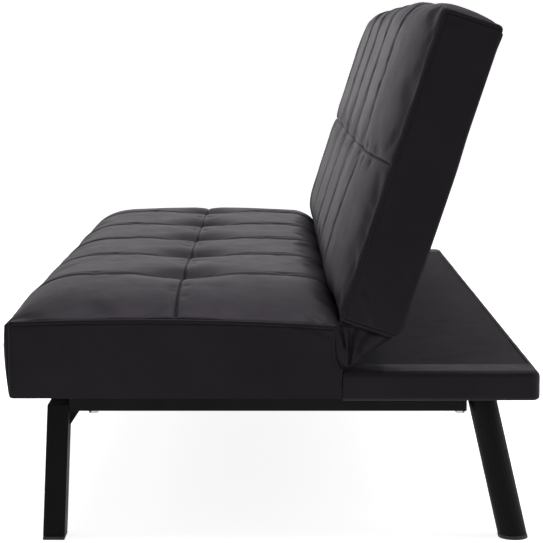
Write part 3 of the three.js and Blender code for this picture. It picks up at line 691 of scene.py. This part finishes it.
def outline(form, full):
    """The outline from the start's foot to the finish's, as (a, h): in full or at an end."""
    run = form.run
    start_roll, finish_roll = [(radius, radius) for radius in form.corners]
    bulge, bulge_power = 0, 1
    if full:
        start_roll, finish_roll = form.start_roll, form.finish_roll
        bulge, bulge_power = form.bulge

    def top(a):
        if not full:
            return seam_height(form, a)
        return form.crown - form.dome * (2 * a / run - 1) ** 2 + form.tilt * (0.5 - a / run)

    start_wall = top(start_roll[0]) - start_roll[1]
    finish_wall = top(run - finish_roll[0]) - finish_roll[1]
    first_low, last_low = [rise - over for _, rise, over in form.feet]
    share = np.arange(FACE_STEPS) / FACE_STEPS
    face = joined(-bulge * np.sin(share * QUARTER) ** bulge_power, lerp(first_low, start_wall, share))
    turn = np.linspace(0, QUARTER, ROLL_STEPS, endpoint=False)
    roll_a = (start_roll[0] + bulge) * (1 - np.cos(turn)) - bulge
    roll = joined(roll_a, start_wall + start_roll[1] * np.sin(turn))
    first_half = graded(run / 2, start_roll[0], FINE, CROWN_STEP)[::-1]
    across = np.append(first_half, graded(run / 2, run - finish_roll[0], FINE, CROWN_STEP)[1:])
    turn = np.linspace(QUARTER, 0, ROLL_STEPS + 1)[1:]
    fall = joined(run - finish_roll[0] * (1 - np.cos(turn)), finish_wall + finish_roll[1] * np.sin(turn))
    wall = joined(run, lerp(finish_wall, last_low, share + 1 / FACE_STEPS))
    start_foot, finish_foot = [foot_turn(foot) for foot in form.feet]
    finish_foot = finish_foot[::-1] * (-1, 1) + (run, 0)
    return np.concatenate([start_foot, face, roll, joined(across, top(across)), fall, wall, finish_foot])


def softened(points, rounds):
    """An open outline with its corners eased and its two ends held."""
    for _ in range(rounds):
        points[1:-1] += 0.25 * (points[2:] + points[:-2] - 2 * points[1:-1])
    return points


def between_seams(divide):
    """Places from end to end, with each channel divided by divide(start, stop)."""
    marks = [-COVER_END, *SEAMS, COVER_END]
    runs = [divide(start, stop)[:-1] for start, stop in zip(marks, marks[1:])]
    return np.append(np.concatenate(runs), COVER_END)


def rising(from_end, run, lift):
    """Share of the full form at distances from an end, complete after a run."""
    return (1 - np.clip(1 - from_end / run, 0, 1) ** 2) ** lift


def quilt_base(form, places):
    """A cover without its quilting: points (x, a, h), lengths along it and the rise at each place."""
    full, ends = outline(form, True), outline(form, False)
    edge = FOOT_STEPS + FACE_STEPS + ROLL_STEPS
    crown, end_crown = full[edge:-edge, 0], ends[edge:-edge]
    middle = form.run / 2
    end_marks = [end_crown[0, 0], middle, end_crown[-1, 0]]
    end_a = np.interp(crown, [crown[0], middle, crown[-1]], end_marks)
    end_crown = joined(end_a, np.interp(end_a, *end_crown.T))
    ends = np.concatenate([ends[:edge], end_crown, ends[-edge:]])
    full = softened(full, OUTLINE_EASING)
    along = lengths_to(full)
    index = np.arange(len(along))
    along -= np.interp(np.interp(middle, full[edge:-edge, 0], index[edge:-edge]), index, along)
    from_end = COVER_END - np.abs(places)
    rise = rising(from_end, *form.crown_end)
    shares = joined(rising(from_end, *form.bulge_end), rise)
    grid = ends + (full - ends) * shares[:, None]
    return joined(places[:, None], grid[..., 0], grid[..., 1]), along, rise


# Depth and width of what both quilts share: seam lines, and the valley and line of the cross seam
GROOVE = mm(3.4, 1.5)
CROSS = mm(0.6, 18)
CROSS_GROOVE = mm(4.5, 1.3)
CROSS_STOPS = 8 * MM
# Channels grow fainter down the front and rear faces: from and over which length, and by what share
FACE_FROM, FACE_OVER, FACE_FADE = 60 * MM, 90 * MM, 0.45
# The corner pull: how far past the top's edge and from the end, with the width of each
PULL_PAST, PULL_HIGH, PULL_FROM_END, PULL_WIDE = mm(30, 40, 200, 130)
# Pleats beside the seams at the rolls: wave length, and place and width from the roll and the seam
PLEAT_LONG, PLEAT_SWAY, PLEAT_SWAY_CELL = 19 * MM, 1.2, 60 * MM
PLEAT_ROLL, PLEAT_SEAM = mm(15, 55), mm(12, 22)
# Puckers along both kinds of seam: depth and reach, how far from a tuft, and their own size
SEAM_PUCKER, CROSS_PUCKER = mm(0.45, 9), mm(0.35, 8)
PUCKER_SPREAD, PUCKER_CELL = mm(90, 7)
SLACK_LAYERS = ((0.7, 85), (0.35, 34))
# Share of the quilting that is left at the very end
END_SHARE = 0.15


def quilting(form, places, along, rise):
    """How far the sewing draws each point in: channels, cross seam, tufts and pleats."""
    x, s, rise, seed = places[:, None], along, rise[:, None], form.seed
    seam = np.round(x / PITCH) * PITCH
    to_seam = np.where(np.abs(x) > END - PITCH / 2, PITCH, np.abs(x - seam))
    from_end = COVER_END - np.abs(x)
    past_top = np.abs(s) - (form.run / 2 - form.start_roll[0])
    down_face = smooth((past_top - FACE_FROM) / FACE_OVER)
    sewn = 1 - FACE_FADE * down_face
    width = np.where(x < seam, form.turned, form.valley[1])
    valleys = form.valley[0] * bell(to_seam, width) * sewn
    lines = GROOVE[0] * fading(to_seam, GROOVE[1]) * sewn
    lines = lines + CROSS_GROOVE[0] * fading(s, CROSS_GROOVE[1]) * smooth(from_end / CROSS_STOPS)
    cross = CROSS[0] * bell(s, CROSS[1]) * rise
    at_corner = bell(past_top - PULL_PAST, PULL_HIGH) * (s < 0)
    pull = form.corner_pull * at_corner * bell(from_end - PULL_FROM_END, PULL_WIDE)
    tuft = form.tuft[0] * bell(to_seam, form.tuft[1]) * bell(s, form.tuft[2])
    pin = form.pin[0] * bell(to_seam, form.pin[1]) * bell(s, form.pin[1])
    side = 3 * np.round(x / PITCH) + np.sign(x - seam)
    shift = 2 * value_noise(side * 7.3, s * 0, 1.0, seed)
    sway = PLEAT_SWAY * value_noise(x, s, PLEAT_SWAY_CELL, seed + 1)
    pleats = form.pleats * np.cos(TURN * to_seam / PLEAT_LONG + shift + sway)
    pleats = pleats * bell(past_top - PLEAT_ROLL[0], PLEAT_ROLL[1])
    pleats = pleats * bell(to_seam - PLEAT_SEAM[0], PLEAT_SEAM[1])
    puckers = SEAM_PUCKER[0] * fading(to_seam, SEAM_PUCKER[1]) * (1 - down_face)
    puckers = puckers + CROSS_PUCKER[0] * fading(s, CROSS_PUCKER[1]) * fading(to_seam, PUCKER_SPREAD)
    puckers = puckers * value_noise(x, s, PUCKER_CELL, seed + 2)
    slack = unevenness(x, s, [(*layer, seed + 3 + k) for k, layer in enumerate(SLACK_LAYERS)])
    drawn = valleys + pull + cross + tuft + pin + pleats + puckers + slack
    return drawn * lerp(END_SHARE, 1, rise) + lines


def cloth_places(start, stop):
    return np.linspace(start, stop, round((stop - start) / CLOTH_STEP) + 1)


def cloth_travel(places, along, grid):
    """The filled cover's own movement, from a simulation on a coarser net of the same cover."""
    net_x = between_seams(cloth_places)
    half = round((along[-1] - along[0]) / CLOTH_STEP / 2)
    net_s = np.append(np.linspace(along[0], 0, half + 1), np.linspace(0, along[-1], half + 1)[1:])
    net = read_at(net_x, places, read_at(net_s, along, grid, axis=1))
    sewn = np.zeros(net.shape[:2], bool)
    sewn[:, [0, half, -1]] = True
    sewn[[0, -1, *[np.argmin(np.abs(net_x - seam)) for seam in SEAMS]], :] = True
    travel = swell(net, sewn)
    return read_at(places, net_x, read_at(along, net_s, travel, axis=1))


COVER_EDGE = mm(3.5, 2.6)


def quilt_grid(form):
    """A quilted cover as a grid of points (x, a, h), with the places of its rows."""
    places = between_seams(graded)
    base, along, rise = quilt_base(form, places)
    depth = quilting(form, places, along, rise) + rounding(COVER_END - np.abs(places), *COVER_EDGE)[:, None]
    grid = base - normals_of(base) * depth[..., None]
    grid = grid + cloth_travel(places, along, grid)
    return places, grid


def underneath(grid, lip, lift):
    """Points that close a cover under its base: two lips and a raised flat between."""
    first, last = grid[:, :1], grid[:, -1:]
    step, up = np.array([0, lip, 0]), np.array([0, 0, lift])
    return [last - step, last - step + up, first + step + up, first + step]


# Stitches: short capsules of thread along a path, half sunk in the leather
STITCH, STITCH_GAP, THREAD_RADIUS = mm(4.2, 1.0, 0.42)
STITCH_SIDES = 6
# A stitch's rings: share of its length, girth and rise, both in radii
STITCH_RINGS = ((0.0, 0.25, -0.7), (0.12, 0.8, -0.1), (0.5, 1.0, 0.25), (0.88, 0.8, -0.1), (1.0, 0.25, -0.7))
# Rows run beside a seam, turn at its corners and lie a little under the end plane
SEAM_ROW, ROW_TURN, ROW_SINK = mm(3.6, 1.5, 0.45)
ROW_PLACES = 120
ROW_ENDS = 4


def stitches(name, rows, body):
    """One piece for several rows of stitches; each row is a path with its outward normals."""
    vertices, faces = [], []
    around = np.linspace(0, TURN, STITCH_SIDES, endpoint=False)[:, None]
    for path, normals in rows:
        distances = lengths_to(path)
        at = np.arange(0, distances[-1], STITCH)
        points, ups = read_at(at, distances, path), read_at(at, distances, normals)
        ups = ups / np.linalg.norm(ups, axis=1, keepdims=True)
        for start, finish, up in zip(points, points[1:], ups):
            long = np.linalg.norm(finish - start)
            way = (finish - start) / long
            ring = (np.cross(way, up) * np.cos(around) + up * np.sin(around)) * THREAD_RADIUS
            faces += tube_faces(len(STITCH_RINGS), STITCH_SIDES, first=len(vertices))
            for share, girth, sink in STITCH_RINGS:
                centre = start + way * (share * (long - STITCH_GAP)) + up * (sink * THREAD_RADIUS)
                vertices.extend(centre + ring * girth)
    thread = closed_object(name, vertices, faces, THREAD)
    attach(thread, body)


def seam_rows(form, places, grid, hand):
    """Stitch paths on both sides of an end seam, with their normals."""
    to_world, run, foot = form.to_world, form.run, form.stitch_foot
    place = np.argmin(np.abs(places - hand * (COVER_END - SEAM_ROW)))
    quilt_line = grid[place, ROW_ENDS:-ROW_ENDS]
    quilt_out = normals_of(grid)[place, ROW_ENDS:-ROW_ENDS]
    quilt_path = to_world(quilt_line)
    a = np.linspace(SEAM_ROW + ROW_TURN, run - SEAM_ROW - ROW_TURN, ROW_PLACES)
    h = seam_height(form, a) - SEAM_ROW
    up = [(SEAM_ROW, foot), (SEAM_ROW, h[0] - ROW_TURN)]
    down = [(run - SEAM_ROW, h[-1] - ROW_TURN), (run - SEAM_ROW, foot)]
    line = np.concatenate([up, joined(a, h), down if form.sewn_round else down[:1]])
    panel_path = to_world(joined(hand * (END - ROW_SINK), *line.T))
    panel_out = np.tile((hand, 0, 0), (len(panel_path), 1))
    return [(quilt_path, to_world(quilt_line + quilt_out) - quilt_path), (panel_path, panel_out)]


# End panels: thin pillows that close the seat and the back at both hands
EDGE_STRIP, STRIP_STEP, PANEL_STEP = mm(9, 0.7, 3)
# The sewn edge's width and drop, and the roll of a sewn foot
PANEL_EDGE = mm(6, 3.4)
PANEL_FOOT = mm(4, 2.6)
# The groove that the stitches draw in: its distance from the seam, depth and width
STITCH_LINE = mm(6.4, 1.6, 1.0)
PANEL_SLACK = ((0.8, 70, 5), (0.35, 18, 6))
PANEL_SETTLE, PANEL_CALM = mm(0.6, 14)
# A crease has a broad rise round it: how much wider, and its share of the depth
CREASE_WIDER, CREASE_RISE = 2.2, 0.5
# How far a panel may stand out, and what is left of it at its thinnest
PANEL_OUT, PANEL_LEFT = mm(4, 0.3)
# Where the fold's leather meets the ledge and the back, as heights
FOLD_FOOT = LEDGE_TOP + 2 * MM
FOLD_HEAD = 0.360


def panel_places(length):
    """Places over a length, even and close in a strip at both ends and graded between."""
    even = np.arange(0, EDGE_STRIP, STRIP_STEP)
    between = graded(EDGE_STRIP, length - EDGE_STRIP, STRIP_STEP, PANEL_STEP)
    return np.concatenate([even, between, (length - even)[::-1]])


def panel_grid(form):
    """Places (a, h) over an end and its top's height, with the outline's rolled corners."""
    run, height = form.run, form.seams[1]
    first, last = form.corners
    a = panel_places(run)
    top = seam_height(form, a) - rounding(a, first, first) - rounding(run - a, last, last)
    a, top, foot = a[:, None], top[:, None], foot_level(form, a)[:, None]
    return a, lerp(foot, top, panel_places(height) / height), top


def edge_fold(from_edge, width, drop):
    """How far a sewn edge slopes in: flatly over its strip, then round into the seam."""
    share = np.clip(1 - from_edge / width, 0, 1)
    return drop * (0.55 * share + 0.45 * (1 - np.sqrt(1 - share ** 4)))


def panel_relief(form, a, h, top):
    """How far an end panel stands in from the end plane, before its creases."""
    to_top = top - h
    to_side = np.minimum(a, form.run - a)
    to_edge = np.minimum(to_top, to_side)
    depth = edge_fold(to_top, *PANEL_EDGE) + edge_fold(to_side, *PANEL_EDGE)
    depth = depth + STITCH_LINE[1] * fading(to_edge - STITCH_LINE[0], STITCH_LINE[2])
    if form.sewn_round:
        depth = depth + rounding(h - foot_level(form, a), *PANEL_FOOT)
    slack = (unevenness(a, h, PANEL_SLACK) + PANEL_SETTLE) * smooth(to_edge / PANEL_CALM)
    return np.clip(depth, 0, PANEL - 0.4 * MM) + slack


def streak(a, h, start, finish, width, depth):
    """A crease along a line on a panel, fading towards both its ends."""
    way = np.subtract(finish, start)
    long = np.linalg.norm(way)
    along = ((a - start[0]) * way[0] + (h - start[1]) * way[1]) / long ** 2
    off = np.abs((a - start[0]) * way[1] - (h - start[1]) * way[0]) / long
    return depth * bell(off, width) * smooth(along / 0.25) * smooth((1 - along) / 0.25)


def fold_tuck(form, a, h):
    """How far an end is drawn forward at its rear edge, where the fold's leather is sewn on."""
    share = np.clip((h + UNDERSIDE - FOLD_FOOT) / (FOLD_HEAD - FOLD_FOOT), 0, 1)
    return form.tuck * np.sin(math.pi * share) ** 0.7 * smooth(a / form.run) ** 12


def add_end_panel(form, hand_name, hand):
    a, h, top = panel_grid(form)
    depth = panel_relief(form, a, h, top)
    for start, finish, width, deep in form.creases:
        depth = depth + streak(a, h, start, finish, width, deep)
        depth = depth - streak(a, h, start, finish, width * CREASE_WIDER, deep * CREASE_RISE)
    for ridge in form.ridges:
        depth = depth - streak(a, h, *ridge)
    x = END - np.clip(depth, -PANEL_OUT, PANEL - PANEL_LEFT)
    a = a - fold_tuck(form, a, h)
    outer, inner = [form.to_world(joined(hand * side, a, h)) for side in (x, COVER_END)]
    panel = shell_object(f"{form.name}_end_{hand_name}", outer, inner, LEATHER)
    stand_in(panel, f"{form.name}_end_panel_{hand_name}", form.body)


def add_cushion(form):
    """A quilted cover with its two end panels and the stitches beside their seams."""
    name, body = form.name, form.body
    places, grid = quilt_grid(form)
    rings = np.concatenate([grid, *underneath(grid, *form.lip)], axis=1)
    quilt = tube_object(f"{name}_quilt", form.to_world(rings), LEATHER)
    stand_in(quilt, f"{name}_cover", body)
    for hand_name, hand in HANDS:
        add_end_panel(form, hand_name, hand)
        stitches(f"{name}_stitching_{hand_name}", seam_rows(form, places, grid, hand), body)


# The back's rear face: how far the leather stays inside the end, the foot and the top
REAR_INSETS = mm(1, -2, 3)
REAR_SLACK = ((0.5, 120, 31), (0.2, 26, 32))
REAR_SLACK_LIMIT, REAR_CALM, WELT = mm(0.3, 40, 2.2)
WELT_HEIGHTS = mm(0.5, 1.9)


def add_rear_cover():
    """The plain leather that is stretched over the back's rear, with a thin welt all round."""
    (top_inset, _, _), (foot_inset, _, _) = BACK.feet
    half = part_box("back_rear_cover")[1].x - REAR_INSETS[0]
    first, last = foot_inset + REAR_INSETS[1], BACK_HEIGHT - top_inset - REAR_INSETS[2]
    x = graded(-half, half, 2 * MM, 18 * MM)[:, None]
    s = graded(first, last, 2 * MM, 12 * MM)
    edge = np.minimum(half - np.abs(x), np.minimum(s - first, last - s))
    rim = lerp(*WELT_HEIGHTS, smooth((s - (last - 30 * MM)) / (25 * MM)))
    slack = unevenness(x, s, REAR_SLACK) * smooth(edge / REAR_CALM)
    plane = BACK_DEPTH + overhang(BACK, BACK_HEIGHT - s)
    t = plane + 0.6 * MM + rim * bell(edge - WELT, WELT) + np.minimum(slack, REAR_SLACK_LIMIT)
    outer, inner = [back_to_world(joined(x, depth, s)) for depth in (t, plane - 0.9 * MM)]
    cover = shell_object("back_rear_sheet", outer, inner, LEATHER)
    stand_in(cover, "back_rear_cover", "backrest")


# Ledge behind the seat: leather wrapped round its edges, plain cloth on top
BAND_END, BAND_REAR, LEDGE_CORNER, LEATHER_THICK = mm(70, 9, 16, 2.2)
LEDGE_ROLL, LEDGE_FOOT, LEDGE_HEM, LEDGE_SETTLE = mm(11, 7, 5, 0.9)
BAND_LUMPS = ((0.35, 45, 41), (0.15, 12, 42))
SIDE_LUMPS = ((0.5, 55, 43),)
# The mitre fold on a corner: how far it runs in from the end and the rear, its height and length
MITRE = (BAND_END, 64 * MM)
MITRE_REAR, MITRE_HEIGHT, MITRE_LONG = mm(68, 0.8, 92)
CLOTH_LAP, CLOTH_THICK = mm(4, 1)
CLOTH_LUMPS = ((0.45, 90, 52),)
# Short wrinkles in the ledge's cloth: middle, direction, and length, width and height
LEDGE_WRINKLES = (
    (0.34, 0.325, 80, mm(55, 3.5, 1.2)),
    (0.42, 0.30, 70, mm(90, 9, 0.8)),
    (-0.28, 0.30, 95, mm(80, 6, 1.0)),
    (-0.61, 0.24, 60, mm(70, 6, 0.9)),
    (0.05, 0.22, 100, mm(110, 10, 0.7)),
)


def ledge_path():
    """Places round the ledge's three sides: outer point, inner point and outward direction."""
    side = graded(ledge_low.y, REAR - LEDGE_CORNER, 2 * MM, 10 * MM)
    turns = np.linspace(0, QUARTER, 9)[1:]
    across = graded(END - LEDGE_CORNER, LEDGE_CORNER - END, 4 * MM, 16 * MM)[1:-1]
    facing = np.append(np.zeros(len(side)), turns)
    ways = joined(np.cos(facing), np.sin(facing))
    bend = (END, REAR) - LEDGE_CORNER * (1 - joined(np.cos(turns), np.sin(turns)))
    outer = np.concatenate([joined(END, side), bend])
    inner = joined(END - BAND_END, np.append(side, np.full(len(turns), REAR - BAND_REAR)))
    rear_inner = joined(np.clip(across, BAND_END - END, END - BAND_END), REAR - BAND_REAR)
    rears = (joined(across, REAR), rear_inner, np.tile((0, 1), (len(across), 1)))
    pairs = zip((outer, inner, ways), rears)
    return [np.concatenate([near, rear, near[::-1] * (-1, 1)]) for near, rear in pairs]


def ledge_profile():
    """The wrap's section from its flat band down and under: inset, height and the way it faces."""
    height = LEDGE_TOP - UNDERSIDE + LEDGE_HEM
    over = np.linspace(0, QUARTER, 9)
    wall = np.linspace(LEDGE_ROLL, height - LEDGE_FOOT, 8)[1:-1]
    under = np.linspace(0, QUARTER, 6)
    hem = [(LEDGE_FOOT + 4 * MM, -height, -QUARTER), (LEDGE_FOOT + 16 * MM, LEDGE_HEM - height, -QUARTER)]
    sections = [
        joined(LEDGE_ROLL * (1 - np.sin(over)), -LEDGE_ROLL * (1 - np.cos(over)), QUARTER - over),
        joined(0, -wall, 0),
        joined(LEDGE_FOOT * (1 - np.cos(under)), LEDGE_FOOT * (1 - np.sin(under)) - height, -under),
        hem,
    ]
    return np.concatenate(sections).T


def mitre_fold(x, y):
    """The fold of the leather on a corner of the ledge's flat bands, as a height."""
    way = np.array(MITRE) / np.hypot(*MITRE)
    from_start = joined(np.abs(x) - (END - BAND_END), y - (REAR - MITRE_REAR))
    along = from_start @ way
    off = from_start @ (way[1], -way[0])
    fold = smooth(along / (14 * MM)) * smooth((MITRE_LONG - along) / (20 * MM))
    return MITRE_HEIGHT * fold / (1 + np.exp(-off / (1.1 * MM))) * fading(np.maximum(off, 0), 26 * MM)


def add_ledge_wrap():
    outer, inner, ways = ledge_path()
    inset, height, facing = ledge_profile()
    shares = graded(0, 1, 0.02, 0.08)[:-1]
    flat = lerp(inner[:, None], (outer - ways * LEDGE_ROLL)[:, None], shares[:, None])
    sides = outer[:, None] - ways[:, None] * inset[:, None]
    x, y = np.moveaxis(np.concatenate([flat, sides], axis=1), -1, 0)
    z = LEDGE_TOP + np.append(shares * 0, height)
    facing = np.append(np.full(len(shares), QUARTER), facing)
    up = np.sin(facing)
    normals = joined(ways[:, :1] * np.cos(facing), ways[:, 1:] * np.cos(facing), up)
    relief = (mitre_fold(x, y) + unevenness(x, y, BAND_LUMPS)) * np.clip(up, 0, 1)
    relief = relief + unevenness(x + y, z, SIDE_LUMPS) * (1 - np.abs(up)) - LEDGE_SETTLE
    points = joined(x, y, z) + normals * relief[..., None]
    wrap = shell_object("ledge_wrap", points, points - normals * LEATHER_THICK, LEATHER)
    stand_in(wrap, "ledge_cover", "base")


def wrinkle(u, v, middle_u, middle_v, degrees, sizes):
    long, short, height = sizes
    c, s = math.cos(math.radians(degrees)), math.sin(math.radians(degrees))
    along = (u - middle_u) * c + (v - middle_v) * s
    off = (v - middle_v) * c - (u - middle_u) * s
    return height * bell(along, long / 2) * bell(off, short)


def add_ledge_cloth():
    low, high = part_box("ledge_cloth")
    x = graded(low.x - CLOTH_LAP, high.x + CLOTH_LAP, 2 * MM, 9 * MM)[:, None]
    y = graded(low.y, high.y + CLOTH_LAP, 2 * MM, 6 * MM)
    slack = sum(wrinkle(x, y, *place) for place in LEDGE_WRINKLES) + unevenness(x, y, CLOTH_LUMPS)
    edge = np.minimum(high.x - np.abs(x), high.y - y)
    sewn = 0.6 * MM * (1 - smooth(edge / CLOTH_LAP))
    top = joined(x, y, high.z - LEDGE_SETTLE + slack * smooth(edge / (20 * MM)) - sewn)
    cloth = shell_object("ledge_sheet", top, top - (0, 0, CLOTH_THICK), LEDGE_CLOTH)
    stand_in(cloth, "ledge_cloth", "base")


# Gathered leather at the fold, from the ledge's front corner to the back's foot
SKIN = 1.4 * MM
# The fold's two edges: share of the way up, Y and Z
FOLD_FRONT = (
    (0.0, 0.1112, 0.2832),
    (0.15, 0.1055, 0.2915),
    (0.33, 0.0997, 0.3027),
    (0.55, 0.0978, 0.3218),
    (0.78, 0.0982, 0.3410),
    (1.0, 0.1018, 0.3600),
)
FOLD_REAR = (
    (0.0, 0.1122, 0.2828),
    (0.3, 0.1345, 0.2928),
    (0.42, 0.1408, 0.2995),
    (0.62, 0.1533, 0.3118),
    (0.8, 0.1675, 0.3205),
    (1.0, 0.1870, 0.3335),
)
# Its folds: share up and share across at both ends, width and height
FOLD_LINES = (
    (0.48, 0.31, 1.02, 0.00, 0.040, -6.5 * MM),
    (0.05, 0.34, 0.95, 0.14, 0.085, 2.6 * MM),
    (0.08, 0.68, 0.92, 0.28, 0.060, -4.2 * MM),
    (0.20, 0.66, 0.95, 0.42, 0.070, 1.6 * MM),
    (0.50, 0.86, 1.00, 0.34, 0.110, -2.2 * MM),
    (0.10, 0.84, 1.00, 0.68, 0.110, 2.2 * MM),
    (0.30, 0.97, 0.98, 0.90, 0.070, -2.0 * MM),
)
FOLD_LUMPS = ((0.7, 14, 61),)
FOLD_ACROSS = 97
EDGE_EASING = 12
POUCH = 2.2 * MM
# How far the leather is drawn in where it is sewn to the back and to the ledge
SEWN_HEAD, SEWN_FOOT = mm(1.6, 1.5)
# How far it lies inside the end at its front edge and further back
SETTLE_FRONT, SETTLE_REAR = mm(1.2, 7.5)


def edge_line(table, v):
    table = np.array(table)
    return softened(read_at(v, table[:, 0], table[:, 1:]), EDGE_EASING)


def close_fold(name, node, outer, inner):
    """Gathered leather between the base and the backrest, put in a CAD node's place."""
    piece = stand_in(shell_object(name, outer, inner, LEATHER), node)


def add_gusset(hand_name, hand):
    """The leather that closes the fold at one hand: u runs across it, v up to the back's foot."""
    u = np.linspace(0, 1, FOLD_ACROSS)[:, None]
    v = graded(0, 1, 0.006, 0.018)
    y, z = lerp(edge_line(FOLD_FRONT, v).T[:, None], edge_line(FOLD_REAR, v).T[:, None], u)
    relief = unevenness(y, z, FOLD_LUMPS) * smooth(v / 0.3)
    for low_v, low_u, high_v, high_u, width, height in FOLD_LINES:
        share = (v - low_v) / (high_v - low_v)
        line = bell(u - lerp(low_u, high_u, share), width)
        relief = relief + height * line * smooth(share / 0.3) * smooth((1.12 - share) / 0.25)
    relief = relief * smooth(u / 0.1) * smooth(v / 0.1)
    pouch = POUCH * np.sin(math.pi * v) ** 0.8 * smooth(u / 0.12) * smooth((1 - u) / 0.2)
    sewn = SEWN_HEAD * (1 - smooth((1 - v) / 0.06)) + SEWN_FOOT * (1 - smooth(v / 0.12))
    x = END - lerp(SETTLE_FRONT, SETTLE_REAR, smooth(u / 0.35)) + relief + pouch - sewn
    outer, inner = joined(hand * x, y, z), joined(hand * (x - SKIN), y, z)
    name, node = f"gusset_leather_{hand_name}", f"gusset_{hand_name}"
    close_fold(name, node, outer, inner)


SKIRT_HEAD = np.array([0, 84 * MM, -1.5 * MM])
SKIRT_STEPS = 25
# The skirt's sag, the height of its gathers and its extra sag at the hinges' pawls
SKIRT_SAG, SKIRT_GATHER, PAWL_SAG = mm(4, 2.2, 4)
# The way in which it sags, over Y and Z
SAG_BACK, SAG_DOWN = 0.35, 0.9


def add_rear_skirt():
    """The loose leather that closes the fold from behind, between the two gussets."""
    low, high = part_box("rear_skirt")
    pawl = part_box("hinge_pawl_right")[0].x + 2 * MM
    x = graded(low.x, high.x, 4 * MM, 9 * MM)[:, None]
    v = np.linspace(0, 1, SKIRT_STEPS)
    _, head_y, head_z = back_to_world(SKIRT_HEAD)
    gather = SKIRT_GATHER * value_noise(x / (22 * MM), v * 0.7, 1.0, 71)
    fall = (SKIRT_SAG + gather + PAWL_SAG * bell(np.abs(x) - pawl, 10 * MM)) * np.sin(math.pi * v)
    y = lerp(low.y + 3 * MM, head_y, v) + fall * SAG_BACK
    z = lerp(low.z + 1.2 * MM, head_z, v) - fall * SAG_DOWN
    outer = joined(x, y, z)
    inner = outer + (0, -SAG_BACK * SKIN, SKIN)
    close_fold("rear_skirt_leather", "rear_skirt", outer, inner)


LINING_SAG = ((0.35, 90, 81),)
LINING_SAG_LIMIT, LINING_RISE, LINING_THICK = mm(0.45, 0.5, 0.6)


def add_dust_cover():
    """Black lining stretched under the base."""
    low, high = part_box("dust_cover")
    x = graded(low.x, high.x, 3 * MM, 20 * MM)[:, None]
    y = graded(low.y, high.y, 3 * MM, 12 * MM)
    edge = np.minimum(high.x - np.abs(x), high.y - np.abs(y))
    sag = (LINING_SAG[0][0] * MM + unevenness(x, y, LINING_SAG)) * smooth(edge / (30 * MM))
    sheet = joined(x, y, UNDERSIDE + LINING_RISE - np.minimum(sag, LINING_SAG_LIMIT))
    lining = shell_object("dust_sheet", sheet, sheet + (0, 0, LINING_THICK), LINING)
    stand_in(lining, "dust_cover", "base")


# Foam inside the covers: a block with rounded edges, thinner at its two ends
FOAM_SIDES = 96
FOAM_SQUARENESS = 12
FOAM_END = 0.015
FOAM_THIN = 0.35
BACK_FOAM_LOW = mm(6.8, 8)
BACK_FOAM_HIGH = mm(38, 499)


def add_foam_core(name, body, low, high, to_world):
    share = graded(-1, 1, 0.004, 0.06)[:, None]
    turn = np.linspace(0, TURN, FOAM_SIDES, endpoint=False)
    c, s = np.cos(turn), np.sin(turn)
    grow = (np.abs(c) ** FOAM_SQUARENESS + np.abs(s) ** FOAM_SQUARENESS) ** (-1 / FOAM_SQUARENESS)
    thick = 1 - rounding(1 - np.abs(share), FOAM_END, 1 - FOAM_THIN)
    unit = joined(share, grow * c, grow * s * thick)
    core = tube_object(f"{name}_foam_core", to_world((low + high) / 2 + unit * (high - low) / 2), FOAM)
    stand_in(core, f"{name}_foam", body)


def add_foam():
    low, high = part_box("seat_foam")
    add_foam_core("seat", "base", np.array(low), np.array(high), lambda points: points)
    low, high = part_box("back_foam")
    low, high = np.array([low.x, *BACK_FOAM_LOW]), np.array([high.x, *BACK_FOAM_HIGH])
    add_foam_core("back", "backrest", low, high, back_to_world)


# CAD nodes that stay: each slot's material, and the bevel that softens its cut edges
HARDWARE = {
    "timber": (TIMBER, 1.2 * MM),
    "black_steel": (BLACK_STEEL, 0.9 * MM),
    "foot_plastic": (PLASTIC, 0.8 * MM),
    "hinge_steel": (ZINC, None),
    "webbing": (WEBBING, None),
}


def soften_edges(obj, width):
    weld = obj.modifiers.new("weld", "WELD")
    weld.merge_threshold = 0.01 * MM
    flat = obj.modifiers.new("flat", "DECIMATE")
    flat.decimate_type = "DISSOLVE"
    flat.angle_limit = math.radians(1)
    edge = obj.modifiers.new("edge", "BEVEL")
    edge.width = width
    edge.segments = 2
    edge.limit_method = "ANGLE"
    edge.angle_limit = math.radians(35)
    edge.harden_normals = True


def add_hardware():
    for subpart in frame["record"]["subparts"]:
        if subpart["material_slot"] not in HARDWARE:
            continue
        node = frame["nodes"][subpart["node"]]
        material, bevel = HARDWARE[subpart["material_slot"]]
        node.data.materials.clear()
        node.data.materials.append(material)
        if bevel is not None:
            soften_edges(node, bevel)


add_camera()
add_floor()
add_lights()
add_cushion(SEAT)
add_cushion(BACK)
add_rear_cover()
add_ledge_wrap()
add_ledge_cloth()
for hand_name, hand in HANDS:
    add_gusset(hand_name, hand)
add_rear_skirt()
add_dust_cover()
add_foam()
add_hardware()
